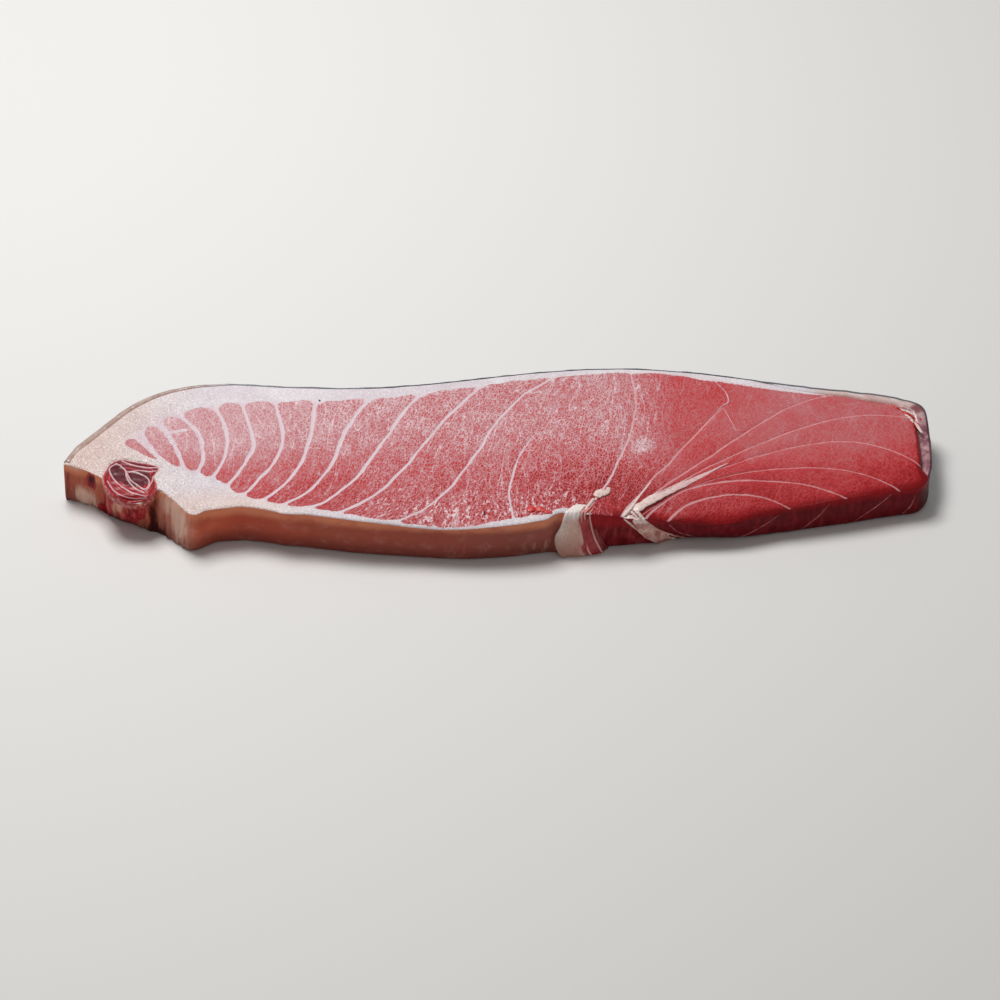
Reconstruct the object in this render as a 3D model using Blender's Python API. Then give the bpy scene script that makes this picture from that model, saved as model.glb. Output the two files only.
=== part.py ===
"""A cut of tuna belly, lying on its flat under side with the marbled cut face up.

+X runs from the narrow fin end to the blunt lean end, +Y from the trimmed front
to the skin side, +Z up. Sizes are millimetres until the mesh is made.
"""
import bmesh
import bpy
import numpy as np

MM = 0.001

# The middle of the piece, seen from above, in the plan that the lines below are drawn in.
PLAN_MIDDLE = (-0.25, 2.35)

# Thickness of the cut, and how its top rim and its walls are rounded.
SLAB_HEIGHT = 26.5
RIM_DROP = 0.9
RIM_WIDTH = 2.0
WALL_BULGE = 1.4
SKIN_FOOT_INSET = 2.0

# Front edge from the fin end to the foot of the big tendon.
FRONT_LINE = [(-253.5, -14.5), (-240, -20.5), (-224, -33), (-205, -42), (-188, -50.5), (-166, -54),
              (-140, -54.5), (-118, -58.5), (-90, -63.5), (-58, -67), (-28, -69.5), (0, -68),
              (25, -63.5), (50, -59.5), (72, -58.5), (93, -56.5)]

# Far edge: the fin end, the skin side, the blunt right end, then back along the lean ridge.
FAR_LINE = [(-253.5, -12.5), (-248.5, -1), (-239, 12.5), (-218, 38.5), (-196, 53.5), (-166, 59.5),
            (-118, 56.5), (-71, 56.5), (-24, 63), (24, 71), (72, 75), (120, 70.5), (167, 61),
            (214, 53), (239, 47), (250.5, 39.5), (252.5, 25), (252, 6), (249.5, -13), (242, -27.5),
            (226, -32), (189, -40.5), (158, -47.5)]
LINE_STEPS = 24

# The sheets of sinew between the muscle layers show on top as curved lines. Each has the X
# where it leaves the front edge, the run along the far edge where it arrives, and how far it
# bows to the left of its chord at one, two and three quarters of the way. The first and the
# last are the two ends of the piece.
SINEWS = [(-253.5, 22, 0.6, 0.8, 0.5),
          (-196, 46, -12, -9.5, -7), (-189, 62, -11, -12, -9), (-181, 80, -8, -15.5, -9),
          (-173, 106, -7, -14, -9.5), (-165, 129, -7, -14, -7), (-157, 149, -11, -17.5, -11),
          (-147, 182, -12, -12, -4.5), (-134, 222, -10, -4, 5), (-120, 259, -9, -2, 7),
          (-104, 285, -11, -6, 1), (-69, 333, -10, 0.5, 9), (4, 349, 16, 17, 9),
          (43, 366, -8, -12, -10), (65, 447, 3, 5, 7), (67.5, 510, 7, 12, 17),
          (70, 554, 14, 21, 22), (72.5, 600, 22, 31, 32), (75, 627, 23, 26, 21),
          (79, 660, 18, 20, 15), (92, 694, 10, 12.5, 10), (93, 696, -2.8, -4, -2.3)]
QUARTERS = (0, 0.25, 0.5, 0.75, 1)
SINEW_GROOVE = 0.4
SINEW_HALF_WIDTH = 1.4

# The lean meat sinks towards the ridge at the right front. Drop of the edge against X.
LEAN_DROP = [(50, 0), (75, 4), (93, 8), (122, 9.5), (158, 8), (189, 6.5), (226, 6), (252, 5)]
LEAN_DROP_REACH = 16
LEAN_OVERHANG = (112, 34, 6)

# A shallow dip where the belly lining is thinnest: X, half width, depth, reach behind the edge.
LINING_DIP = (-40, 34, 3.2, 14)

# The big tendon stands proud where the lean layers meet: its line, half width and height.
TENDON_LINE = [(69, -58), (76, -52), (84, -44), (96, -36), (109, -28), (120, -20), (128, -13)]
TENDON_HALF_WIDTH = 2.6
TENDON_HEIGHT = 1.3

# What juts from the front edge or is cut into it: X, half width, push at the top, push at the
# foot. A push is towards the front.
FRONT_PUSHES = [(-213, 13, 10, 1), (-196.5, 5, -9, 0), (-180, 9, 5, 7), (-163, 12, -0.5, -2),
                (29, 5.5, -5, 0), (35, 6, -1, 5), (86, 4, 0, 1.5)]
PUSH_REACH = 9

# How finely the solid is cut into faces.
COLUMN_STEP = 7.5
ROWS = (0, 0.025, 0.07, 0.13, 0.21, 0.3, 0.4, 0.5, 0.6, 0.7, 0.8, 0.88, 0.94, 0.98, 1)
WALL_LEVELS = (0.85, 0.6, 0.3, 0)


def smooth_line(points):
    """Curve through the points: between two of them a cubic whose slope at each end is the
    mean of the neighbouring chords, weighted by the square roots of their lengths."""
    p = np.array(points, float)
    chord = np.diff(p, axis=0)
    gap = np.sqrt(np.linalg.norm(chord, axis=1))[:, None]
    slope = chord / gap
    middle = (gap[1:] * slope[:-1] + gap[:-1] * slope[1:]) / (gap[1:] + gap[:-1])
    tangent = np.vstack([slope[:1], middle, slope[-1:]])
    t = np.linspace(0, 1, LINE_STEPS, endpoint=False)[None, :, None]
    start, end = p[:-1, None], p[1:, None]
    leave, arrive = (tangent[:-1] * gap)[:, None], (tangent[1:] * gap)[:, None]
    curve = (start * (2 * t**3 - 3 * t**2 + 1) + leave * (t**3 - 2 * t**2 + t)
             + end * (3 * t**2 - 2 * t**3) + arrive * (t**3 - t**2))
    return np.vstack([curve.reshape(-1, 2), p[-1:]])


def run_along(line):
    """Length of the line up to each of its points."""
    return np.concatenate([[0], np.cumsum(np.linalg.norm(np.diff(line, axis=0), axis=1))])


FRONT = smooth_line(FRONT_LINE)
FAR = smooth_line(FAR_LINE)
FAR_RUN = run_along(FAR)


def bow_at(v, bows):
    """Curve of the fourth degree that is zero at both ends and the three bows between."""
    heights = (0, *bows, 0)
    total = np.zeros_like(v)
    for i in (1, 2, 3):
        term = np.full_like(v, heights[i])
        for j, knot in enumerate(QUARTERS):
            if j != i:
                term = term * (v - knot) / (QUARTERS[i] - knot)
        total = total + term
    return total


def plan_point(column, v):
    """Place on the top, from the column (0 to 21, whole at a sinew) and the share v of the way
    from the front edge to the far edge."""
    table = np.array(SINEWS, float)
    values = [np.interp(column, np.arange(len(table)), table[:, k]) for k in range(table.shape[1])]
    near_x, far_run, bows = values[0], values[1], values[2:]
    near = np.array([near_x, np.interp(near_x, FRONT[:, 0], FRONT[:, 1])])
    far = np.array([np.interp(far_run, FAR_RUN, FAR[:, k]) for k in (0, 1)])
    chord = far - near
    left = np.array([-chord[1], chord[0]]) / np.linalg.norm(chord)
    v = np.asarray(v, float)
    return near + v[:, None] * chord + bow_at(v, bows)[:, None] * left


def edge_line():
    """The whole front edge from left to right, with the lean ridge and the end's corner."""
    ridge = plan_point(len(SINEWS) - 1, np.linspace(0, 1, LINE_STEPS))
    corner = FAR[FAR_RUN > SINEWS[-2][1] - 130][::-1]
    line = np.vstack([FRONT[:-1], ridge[:-1], corner[1:]])
    return line[np.argsort(line[:, 0])]


EDGE = edge_line()


def bump(distance, half_width):
    """Bell of height one."""
    return np.exp(-(distance / half_width) ** 2)


def behind_edge(x, y):
    """How far a place lies behind the front edge."""
    return np.maximum(y - np.interp(x, EDGE[:, 0], EDGE[:, 1]), 0)


def front_push(x, at_foot):
    """How far the front edge is pushed out, at the top or at the foot."""
    total = np.zeros_like(x)
    for centre, half_width, top, foot in FRONT_PUSHES:
        total = total + (foot if at_foot else top) * bump(x - centre, half_width)
    return total


def distance_to_line(x, y, line):
    """Distance to the nearest point of a line."""
    return np.hypot(x[:, None] - line[:, 0], y[:, None] - line[:, 1]).min(axis=1)


def top_height(x, y):
    """Height of the cut face: level, but sunk towards the lean ridge and at the lining, and
    raised along the tendon."""
    d = behind_edge(x, y)
    drop = np.interp(x, *np.array(LEAN_DROP).T)
    z = SLAB_HEIGHT - drop * np.exp(-(d / LEAN_DROP_REACH) ** 1.3)
    centre, half_width, depth, reach = LINING_DIP
    z = z - depth * bump(x - centre, half_width) * np.exp(-d / reach)
    tendon = distance_to_line(x, y, smooth_line(TENDON_LINE))
    return z + TENDON_HEIGHT * bump(tendon, TENDON_HALF_WIDTH)


def column_marks():
    """Columns of the mesh: one on each sinew, one close by on each side, and even steps."""
    marks = [0.0]
    for i in range(len(SINEWS) - 1):
        near_width = SINEWS[i + 1][0] - SINEWS[i][0]
        far_width = SINEWS[i + 1][1] - SINEWS[i][1]
        width = max(near_width, far_width)
        lip = min(SINEW_HALF_WIDTH / width, 0.25)
        steps = max(int(round(width / COLUMN_STEP)), 2)
        marks.extend(i + np.linspace(lip, 1 - lip, steps))
        marks.append(i + 1.0)
    return marks


def top_column(column):
    """Points of one column of the cut face, from the front edge to the far edge."""
    v = np.array(ROWS)
    place = plan_point(column, v)
    x, y = place[:, 0], place[:, 1]
    z = top_height(x, y)
    length = np.linalg.norm(np.diff(place, axis=0), axis=1).sum()
    to_edge = np.minimum(v, 1 - v) * length
    if column in (0, len(SINEWS) - 1):
        to_edge = np.zeros_like(v)
    elif column % 1 == 0:
        z = z - SINEW_GROOVE * np.sin(np.pi * v)
    z = z - RIM_DROP * np.exp(-to_edge / RIM_WIDTH)
    y = y - front_push(x, False) * np.exp(-behind_edge(x, y) / PUSH_REACH)
    return np.stack([x, y, z], axis=1)


def foot_of(rim, base):
    """Foot of the wall under each rim point: pushed with the front, drawn in under the lean
    ridge, and set in a little under the skin side and the right end."""
    x, y = base[:, 0], base[:, 1]
    centre, half_width, overhang = LEAN_OVERHANG
    is_front = np.exp(-behind_edge(x, y) / PUSH_REACH)
    forward = front_push(x, True) - overhang * bump(x - centre, half_width)
    foot = np.stack([x, y - forward * is_front], axis=1)
    inward = -outward_normals(base) * SKIN_FOOT_INSET
    return foot + inward * (1 - is_front)[:, None]


def outward_normals(loop):
    """Unit normals of a closed loop that runs anticlockwise, seen from above."""
    along = np.roll(loop, -1, axis=0) - np.roll(loop, 1, axis=0)
    normal = np.stack([along[:, 1], -along[:, 0]], axis=1)
    return normal / np.linalg.norm(normal, axis=1)[:, None]


def boundary(grid):
    """The outer points of a grid of columns, anticlockwise: front, right end, far side, left end."""
    return ([column[0] for column in grid[:-1]] + list(grid[-1][:-1])
            + [column[-1] for column in grid[:0:-1]] + list(grid[0][:0:-1]))


def belly_mesh():
    """The closed solid: the cut face as a grid, the walls as rings under its rim, and the flat
    under side as one face."""
    marks = column_marks()
    top = [top_column(column) for column in marks]
    base = np.array(boundary([plan_point(column, np.array(ROWS)) for column in marks]))
    rim = np.array(boundary(top))
    foot = foot_of(rim, base)
    outward = outward_normals(foot)

    bm = bmesh.new()
    middle = np.array(PLAN_MIDDLE)

    def add(x, y, z):
        return bm.verts.new(((x - middle[0]) * MM, (y - middle[1]) * MM, z * MM))

    grid = [[add(*point) for point in column] for column in top]
    for left, right in zip(grid[:-1], grid[1:]):
        for j in range(len(ROWS) - 1):
            bm.faces.new((left[j], right[j], right[j + 1], left[j + 1]))

    ring = boundary(grid)
    for level in WALL_LEVELS:
        bulge = WALL_BULGE * np.sin(np.pi * level)
        place = level * rim[:, :2] + (1 - level) * foot + bulge * outward
        lower = [add(x, y, level * z) for (x, y), z in zip(place, rim[:, 2])]
        for i in range(len(ring)):
            k = (i + 1) % len(ring)
            bm.faces.new((ring[i], lower[i], lower[k], ring[k]))
        ring = lower
    bm.faces.new(ring[::-1])

    mesh = bpy.data.meshes.new("tuna_belly")
    bm.to_mesh(mesh)
    bm.free()
    return mesh


def raw_meat():
    """Moist pink meat."""
    material = bpy.data.materials.new("raw_tuna")
    material.use_nodes = True
    shader = material.node_tree.nodes["Principled BSDF"]
    shader.inputs["Base Color"].default_value = (0.55, 0.2, 0.21, 1)
    shader.inputs["Roughness"].default_value = 0.35
    shader.inputs["Metallic"].default_value = 0
    return material


for old in list(bpy.data.objects):
    bpy.data.objects.remove(old)

belly = bpy.data.objects.new("tuna_belly", belly_mesh())
belly.data.materials.append(raw_meat())
belly.data.shade_smooth()
bpy.context.collection.objects.link(belly)
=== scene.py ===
"""Looks of a raw cut of tuna belly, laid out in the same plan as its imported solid."""
import math

import bpy
import numpy as np
from mathutils import Matrix, Vector


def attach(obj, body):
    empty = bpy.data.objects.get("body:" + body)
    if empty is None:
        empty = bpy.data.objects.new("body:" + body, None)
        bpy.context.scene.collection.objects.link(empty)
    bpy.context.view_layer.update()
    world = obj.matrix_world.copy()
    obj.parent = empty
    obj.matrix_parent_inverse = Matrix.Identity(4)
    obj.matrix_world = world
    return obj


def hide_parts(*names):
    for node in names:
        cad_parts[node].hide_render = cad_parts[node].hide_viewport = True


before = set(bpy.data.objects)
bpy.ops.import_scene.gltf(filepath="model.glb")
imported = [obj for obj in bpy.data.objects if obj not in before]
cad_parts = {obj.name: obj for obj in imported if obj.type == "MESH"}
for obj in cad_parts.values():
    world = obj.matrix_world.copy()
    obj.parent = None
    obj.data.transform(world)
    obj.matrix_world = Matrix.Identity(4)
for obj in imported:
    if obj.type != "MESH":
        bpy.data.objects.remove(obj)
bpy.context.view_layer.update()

# The meat. One thick cut through the belly wall: layers of pink muscle between curved sheets of
# sinew, with pale fat round them. The knife left the top and the under side flat, and the
# outline follows the belly lining in front and the skin behind. Sizes are millimetres.
MM = 0.001
# The middle of the footprint in the plan below, height of the cut face, and how far the skin
# side is drawn in at the foot.
PLAN_MIDDLE = np.array([-0.25, 2.35])
SLAB_HEIGHT = 26.5
SKIN_FOOT_INSET = 2.0
FRONT_LINE = [(-253.5, -14.5), (-240, -20.5), (-224, -33), (-205, -42), (-188, -50.5), (-166, -54),
              (-140, -54.5), (-118, -58.5), (-90, -63.5), (-58, -67), (-28, -69.5), (0, -68),
              (25, -63.5), (50, -59.5), (72, -58.5), (93, -56.5)]
FAR_LINE = [(-253.5, -12.5), (-248.5, -1), (-239, 12.5), (-218, 38.5), (-196, 53.5), (-166, 59.5),
            (-118, 56.5), (-71, 56.5), (-24, 63), (24, 71), (72, 75), (120, 70.5), (167, 61),
            (214, 53), (239, 47), (250.5, 39.5), (252.5, 25), (252, 6), (249.5, -13), (242, -27.5),
            (226, -32), (189, -40.5), (158, -47.5)]
LINE_STEPS = 24
# Each sinew: X at the front edge, run along the far edge, bow at the three quarter points, and
# its half width in front and behind. The first and the last row are the piece's two ends.
SINEWS = [(-253.5, 22, 0.3, 0.3, 0.1, -3, -3),
          (-196, 50, -12, -9.5, -7, 0.8, 2.0), (-189, 66, -11, -12, -9, 0.8, 1.9),
          (-181, 85, -8, -15.5, -9, 0.8, 1.7), (-173, 110, -7, -14, -9.5, 0.75, 1.5),
          (-165, 132, -7, -14, -7, 0.75, 1.3), (-157, 151, -11, -17.5, -11, 0.75, 1.2),
          (-147, 182, -12, -12, -4.5, 0.75, 1.15), (-134, 222, -10, -4, 5, 0.8, 1.1),
          (-120, 259, -9, -2, 7, 0.85, 1.0), (-104, 285, -11, -6, 1, 0.8, 0.75),
          (-69, 333, -10, 0.5, 9, 0.65, 0.45), (4, 349, 16, 17, 9, 0.5, 0.3),
          (43, 366, -8, -12, -10, 0.5, 0.35), (65, 447, 3, 5, 7, 0.45, 0.3),
          (67.5, 488, 4.5, 6.5, 9, 0.45, 0.2), (70, 553, 13.5, 20, 20.5, 0.35, 0.2),
          (72.5, 600, 21, 30, 31, 0.05, 0.3), (75, 627, 19.5, 25, 21, 0.05, 0.3),
          (79, 660, 18, 20, 15, 0.5, 0.25), (92, 694, 10, 12.5, 10, 0.6, 0.25),
          (93, 696, -2.8, -4, -2.3, -3, -3)]
# Sinews that die out in the flesh: number, share of the way where they thin, and where they end.
FADING_SINEWS = [(12, 0.4, 0.7), (14, 0.74, 0.82)]
QUARTERS = (0, 0.25, 0.5, 0.75, 1)
# How far the lean ridge lies below the cut face, against X, and how far back that reaches. Then
# the dip of the face at the lining and the overhang of the lean wall: X, half width and depth.
LEAN_DROP = [(50, 0), (75, 4), (93, 8), (122, 9.5), (158, 8), (189, 6.5), (226, 6), (252, 5)]
LEAN_DROP_REACH = 16
LINING_DIP, LINING_DIP_REACH = (-40, 34, 3.2), 14
LEAN_OVERHANG = (112, 34, 6)
# How far the front edge stands out from its smooth line, at the top and at the foot: the fin
# muscle, the notch, the corner of the lining, and the step where the lining ends.
FRONT_STEPS = [(-236, 0, 1.5), (-230, -0.5, 1.5), (-226, 4, 0.8), (-220, 8, 1.5), (-214, 9, 1.2),
               (-208, 7, 1.8), (-203.5, 0.5, 3.2), (-200.5, -7, 1.6), (-197, -8, 2.2),
               (-190.5, -4, 3.8), (-186, 0, 6.5), (-181, 6, 9.6), (-176.5, 6.8, 8.6), (-171, 2, 4.6),
               (-165, 0, 0), (-151, -2, -1), (-138, 0, 0), (-127, 2, 0.8), (-114, 0, 0), (22, 0, 0),
               (27, -4, 0.5), (31, -5, 3), (35, -3, 4.8), (42, -1, 2.5), (52, 0, 0.5), (78, 0, 0),
               (86, 0, 1.5), (94, 0, 0)]
# How far into the face such a push is felt.
PUSH_REACH = 9
# Thickness of the skin along the far edge, against the run from the fin end.
SKIN_RUN = (0, 40, 90, 130, 330, 440, 458, 476, 500, 520, 532, 546, 560, 582, 596, 602)
SKIN_THICK = (5.0, 5.0, 4.0, 2.0, 1.4, 1.6, 4.5, 7.0, 8.0, 9.0, 9.5, 9.5, 9.0, 8.5, 7.5, 6.5)
# The meat goes this far under the skin.
SKIN_LAP = 0.3


def smooth_line(points, steps=LINE_STEPS):
    """Curve through the points: between two of them a cubic whose slope at each end is the
    mean of the neighbouring chords, weighted by the square roots of their lengths."""
    p = np.array(points, float)
    chord = np.diff(p, axis=0)
    gap = np.sqrt(np.linalg.norm(chord, axis=1))[:, None]
    slope = chord / gap
    middle = (gap[1:] * slope[:-1] + gap[:-1] * slope[1:]) / (gap[1:] + gap[:-1])
    tangent = np.vstack([slope[:1], middle, slope[-1:]])
    t = np.linspace(0, 1, steps, endpoint=False)[None, :, None]
    start, end = p[:-1, None], p[1:, None]
    leave, arrive = (tangent[:-1] * gap)[:, None], (tangent[1:] * gap)[:, None]
    curve = (start * (2 * t**3 - 3 * t**2 + 1) + leave * (t**3 - 2 * t**2 + t)
             + end * (3 * t**2 - 2 * t**3) + arrive * (t**3 - t**2))
    return np.vstack([curve.reshape(-1, p.shape[1]), p[-1:]])


def run_along(line):
    """Length of the line up to each of its points."""
    return np.concatenate([[0], np.cumsum(np.linalg.norm(np.diff(line, axis=0), axis=1))])


def read_at(table, x, column=1):
    """A column of a table whose first column is X, read straight between its rows."""
    rows = np.asarray(table, float)
    return np.interp(x, rows[:, 0], rows[:, column])


def places_at(run, runs, places):
    """Places in the plan at distances along a line, read straight between its points."""
    return np.stack([np.interp(run, runs, places[:, k]) for k in (0, 1)], axis=1)


def unit(vectors):
    """Vectors brought to length one."""
    return vectors / np.linalg.norm(vectors, axis=1)[:, None]


def turned_left(vectors):
    """Unit vectors a quarter turn to the left of vectors in the plan."""
    return unit(np.stack([-vectors[:, 1], vectors[:, 0]], axis=1))


FRONT, FAR = smooth_line(FRONT_LINE), smooth_line(FAR_LINE)
FAR_RUN = run_along(FAR)
# The inward direction turns slowly round the corners, as the mean over this run to both sides.
TURN_REACH = (-21, -14, -7, 0, 7, 14, 21)
FAR_LEFT = turned_left(np.gradient(FAR, axis=0))
FAR_INWARD = unit(-sum(places_at(FAR_RUN + shift, FAR_RUN, FAR_LEFT) for shift in TURN_REACH))


def plan_grid(columns, shares):
    """Places on the top for every column (0 to 21, whole at a sinew) and share of the way from
    front to far edge: the chord between the two ends, plus a bow to its left that is the curve
    of the fourth degree through the sinew's three bows. The far ends stop at the skin."""
    table = np.array(SINEWS, float)
    rows = [np.interp(columns, np.arange(len(table)), table[:, k]) for k in range(5)]
    near = np.stack([rows[0], read_at(FRONT, rows[0])], axis=1)
    skin = np.clip(np.interp(rows[1], SKIN_RUN, SKIN_THICK, right=0) - SKIN_LAP, 0, None)
    far = places_at(rows[1], FAR_RUN, FAR) + skin[:, None] * places_at(rows[1], FAR_RUN, FAR_INWARD)
    chord = far - near
    bow = np.zeros((len(columns), len(shares)))
    for i in (1, 2, 3):
        term = np.ones_like(shares)
        for j, knot in enumerate(QUARTERS):
            if j != i:
                term = term * (shares - knot) / (QUARTERS[i] - knot)
        bow += rows[1 + i][:, None] * term
    sideways = bow[..., None] * turned_left(chord)[:, None]
    return near[:, None] + shares[None, :, None] * chord[:, None] + sideways


# The front edge goes on along the lean ridge, and round the right end from this run of the far
# line. The far edge itself ends about where the skin does.
ROUND_END_RUN, FAR_EDGE_RUN = 564, 600
RIDGE = plan_grid(np.array([len(SINEWS) - 1.0]), np.linspace(0, 1, LINE_STEPS))[0]
EDGE = np.vstack([FRONT[:-1], RIDGE[:-1], FAR[FAR_RUN > ROUND_END_RUN][::-1]])
EDGE = EDGE[np.argsort(EDGE[:, 0])]


def bump(distance, half_width):
    """Bell of height one."""
    return np.exp(-(distance / half_width) ** 2)


def eased(value, low, high):
    """0 below low, 1 above high, and a soft step between."""
    t = np.clip((value - low) / (high - low), 0, 1)
    return t * t * (3 - 2 * t)


def behind_edge(x, y):
    """How far places lie behind the front edge."""
    return np.maximum(y - read_at(EDGE, x), 0)


def front_push(x, at_foot):
    """How far the front edge stands out, at the top or at the foot: straight between the steps,
    with each corner taken off by the mean of three places 1 mm apart."""
    column = 2 if at_foot else 1
    return sum(read_at(FRONT_STEPS, x + shift, column) for shift in (-1, 0, 1)) / 3


def nearest_on(line, x, y):
    """For each place, the index of the nearest point of a line and the distance to it."""
    shape = np.shape(x)
    index, distance = [], []
    for px, py in zip(np.array_split(np.ravel(x), 12), np.array_split(np.ravel(y), 12)):
        d = np.hypot(px[:, None] - line[:, 0], py[:, None] - line[:, 1])
        index.append(d.argmin(axis=1))
        distance.append(d.min(axis=1))
    return np.concatenate(index).reshape(shape), np.concatenate(distance).reshape(shape)


def soft_noise(x, y, size, seed):
    """Smooth random relief between -1 and 1: seeded values on a square lattice of the given
    size, blended by the cubic fade between its corners."""
    values = np.random.default_rng(seed).uniform(-1, 1, (256, 256))
    u, v = x / size + 128, y / size + 128
    i, j = np.floor(u).astype(int), np.floor(v).astype(int)
    s, t = u - i, v - j
    s, t = s * s * (3 - 2 * s), t * t * (3 - 2 * t)
    i, j = i % 255, j % 255
    low = values[i, j] * (1 - s) + values[i + 1, j] * s
    high = values[i, j + 1] * (1 - s) + values[i + 1, j + 1] * s
    return low * (1 - t) + high * t


def top_height(x, y):
    """Height of the cut face: level, but sunk towards the lean ridge and at the lining, with the
    soft unevenness that a knife leaves."""
    d = behind_edge(x, y)
    z = SLAB_HEIGHT - read_at(LEAN_DROP, x) * np.exp(-(d / LEAN_DROP_REACH) ** 1.3)
    centre, half_width, depth = LINING_DIP
    z = z - depth * bump(x - centre, half_width) * np.exp(-d / LINING_DIP_REACH)
    return z - 0.3 + 0.2 * soft_noise(x, y, 22, 1) + 0.14 * soft_noise(x, y, 8, 2)


# Columns stand close together beside each sinew and in the fin end, rows at both edges, and
# rings of the wall at the rim and at the foot, which is rounded in over the last four.
COLUMN_STEP, FIN_COLUMN_STEP = 1.75, 1.0
SINEW_LIPS = (0.4, 0.8, 1.3, 2.0)
EDGE_ROWS = np.array([0, 0.35, 0.8, 1.4, 2.2, 3.2, 4.4]) / 120
MIDDLE_ROWS = 88
UNDER_ROW_STEP = 6
WALL_LEVELS = np.array([0.99, 0.97, 0.94, 0.9, 0.85, 0.78, 0.7, 0.61, 0.52, 0.43, 0.34, 0.25, 0.17, 0.1,
                        0.05, 0.018, 0])
FOOT_ROUND = np.array([0] * 13 + [0.05, 0.2, 0.6, 1.3])
WALL_BULGE = 1.1
# Height that the wall's patterns are measured against.
WALL_TALL = 26


def column_marks():
    """Columns of the mesh, from the widths between the sinews."""
    marks = []
    for i in range(len(SINEWS) - 1):
        near_width = SINEWS[i + 1][0] - SINEWS[i][0]
        far_width = SINEWS[i + 1][1] - SINEWS[i][1]
        width = max(near_width, far_width)
        lips = [lip / width for lip in SINEW_LIPS if lip / width < 0.3]
        step = COLUMN_STEP if i > 4 else FIN_COLUMN_STEP
        steps = max(int(round((1 - 2 * lips[-1]) * width / step)), 2) if lips else 3
        inner = np.linspace(lips[-1], 1 - lips[-1], steps + 1)[1:-1] if lips else [0.25, 0.5, 0.75]
        marks += [i, *(i + np.array(lips)), *(i + np.array(inner)), *(i + 1 - np.array(lips[::-1]))]
    return np.array(marks + [len(SINEWS) - 1.0])


# How far sinews stray from their smooth lines.
WANDER = 0.8


def wandering(plan):
    """The plan's inner places moved softly sideways, so that no sinew runs quite smoothly."""
    inner = eased(np.minimum(SHARES, 1 - SHARES), 0, 0.08)[None, :]
    inner = inner * eased(np.minimum(COLUMNS, COLUMNS[-1] - COLUMNS), 0, 0.5)[:, None]
    x, y = plan[..., 0], plan[..., 1]
    shift = [soft_noise(x, y, 13, seed) + 0.2 * soft_noise(x, y, 5, seed + 1) for seed in (14, 16)]
    reach = WANDER * inner * np.interp(x, (60, 100), (1, 0.4))
    return plan + reach[..., None] * np.stack(shift, axis=2)


COLUMNS = column_marks()
MIDDLE_SHARES = np.linspace(EDGE_ROWS[-1], 1 - EDGE_ROWS[-1], MIDDLE_ROWS)[1:-1]
SHARES = np.concatenate([EDGE_ROWS, MIDDLE_SHARES, 1 - EDGE_ROWS[::-1]])
PLAN = wandering(plan_grid(COLUMNS, SHARES))
LENGTH = np.linalg.norm(np.diff(PLAN, axis=1), axis=2).sum(axis=1)


def sinew_distance():
    """Distance of every grid place from the nearest sinew, and that sinew's half width: the
    step in columns times the local width of one column, square to the sinew."""
    nearest = np.round(COLUMNS).astype(int)
    across = np.gradient(PLAN, COLUMNS, axis=0)
    along = np.gradient(PLAN, SHARES, axis=1)
    area = np.abs(across[..., 0] * along[..., 1] - across[..., 1] * along[..., 0])
    pitch = area / np.maximum(np.linalg.norm(along, axis=2), 1e-6)
    table = np.array(SINEWS)
    front, behind = table[nearest, 5][:, None], table[nearest, 6][:, None]
    half = front + (behind - front) * SHARES[None, :] ** 1.3
    half = half * (1 + 0.3 * soft_noise(SHARES[None, :] * 100, nearest[:, None] * 37.0, 6, 20))
    for number, thins, ends in FADING_SINEWS:
        half = half - (nearest == number)[:, None] * 1.3 * eased(SHARES, thins, ends)[None, :]
    return np.abs(COLUMNS - nearest)[:, None] * pitch, half


SINEW_OFF, SINEW_HALF = sinew_distance()

# The rim of fat, from the far edge inwards and from the lining inwards, against X.
FAT_FAR = [(-250, 16), (-230, 18), (-205, 21), (-190, 23), (-168, 20.5), (-150, 16.5), (-126, 14),
           (-98, 12.5), (-70, 11), (-42, 9.2), (-14, 8), (13, 6.5), (42, 6.5), (60, 5.8), (76, 4.6),
           (97, 4.5), (125, 7), (150, 7.6), (170, 8.2), (190, 8), (200, 5.5), (215, 1), (235, -6)]
FAT_FRONT = [(-215, 40), (-191, 33), (-180, 32), (-173, 28), (-163, 23), (-155, 14), (-146, 7.5),
             (-131, 6), (-101, 4.5), (-79, 2.5), (-39, 1.3), (-18, 2), (4, 5), (23, 4.5), (34, 5),
             (42, 3), (47, 0), (55, -3)]
# Radius of the rounded corners where a muscle lobe meets the rim, against X, at its far end, and
# its share of that at the front.
LOBE_ROUND = [(-190, 8), (-150, 7), (-100, 5), (-60, 3.5), (20, 2.5)]
LOBE_TIP = 0.45
# The last small lobe before the fin end, and the sinew that splits the third lobe.
# Both are given by their ends and the half width at each.
SMALL_LOBE = ((-215.5, 3.6), (-201.5, -10.5), 3.7, 0.9)
LOBE_SPLIT = ((-199, 12), (-184.5, 15.8), 1.3, 1.3)
LOBE_SPLIT_COLUMNS = (2, 3)
# Share of fat in the flesh behind and in front, and strength of its marbling, against X.
PALE_BACK = [(-220, 0.88), (-160, 0.94), (-120, 0.85), (-80, 0.82), (-40, 0.76), (0, 0.74), (40, 0.72),
             (60, 0.76), (78, 0.64), (104, 0.42), (120, 0.42), (140, 0.48), (160, 0.53), (200, 0.57),
             (245, 0.52)]
PALE_FRONT = [(-200, 0.5), (-160, 0.39), (-120, 0.36), (-40, 0.35), (0, 0.34), (30, 0.27), (48, 0.1),
              (70, 0.04), (84, 0.2), (100, 0.27), (160, 0.25), (200, 0.26), (240, 0.18)]
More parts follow.
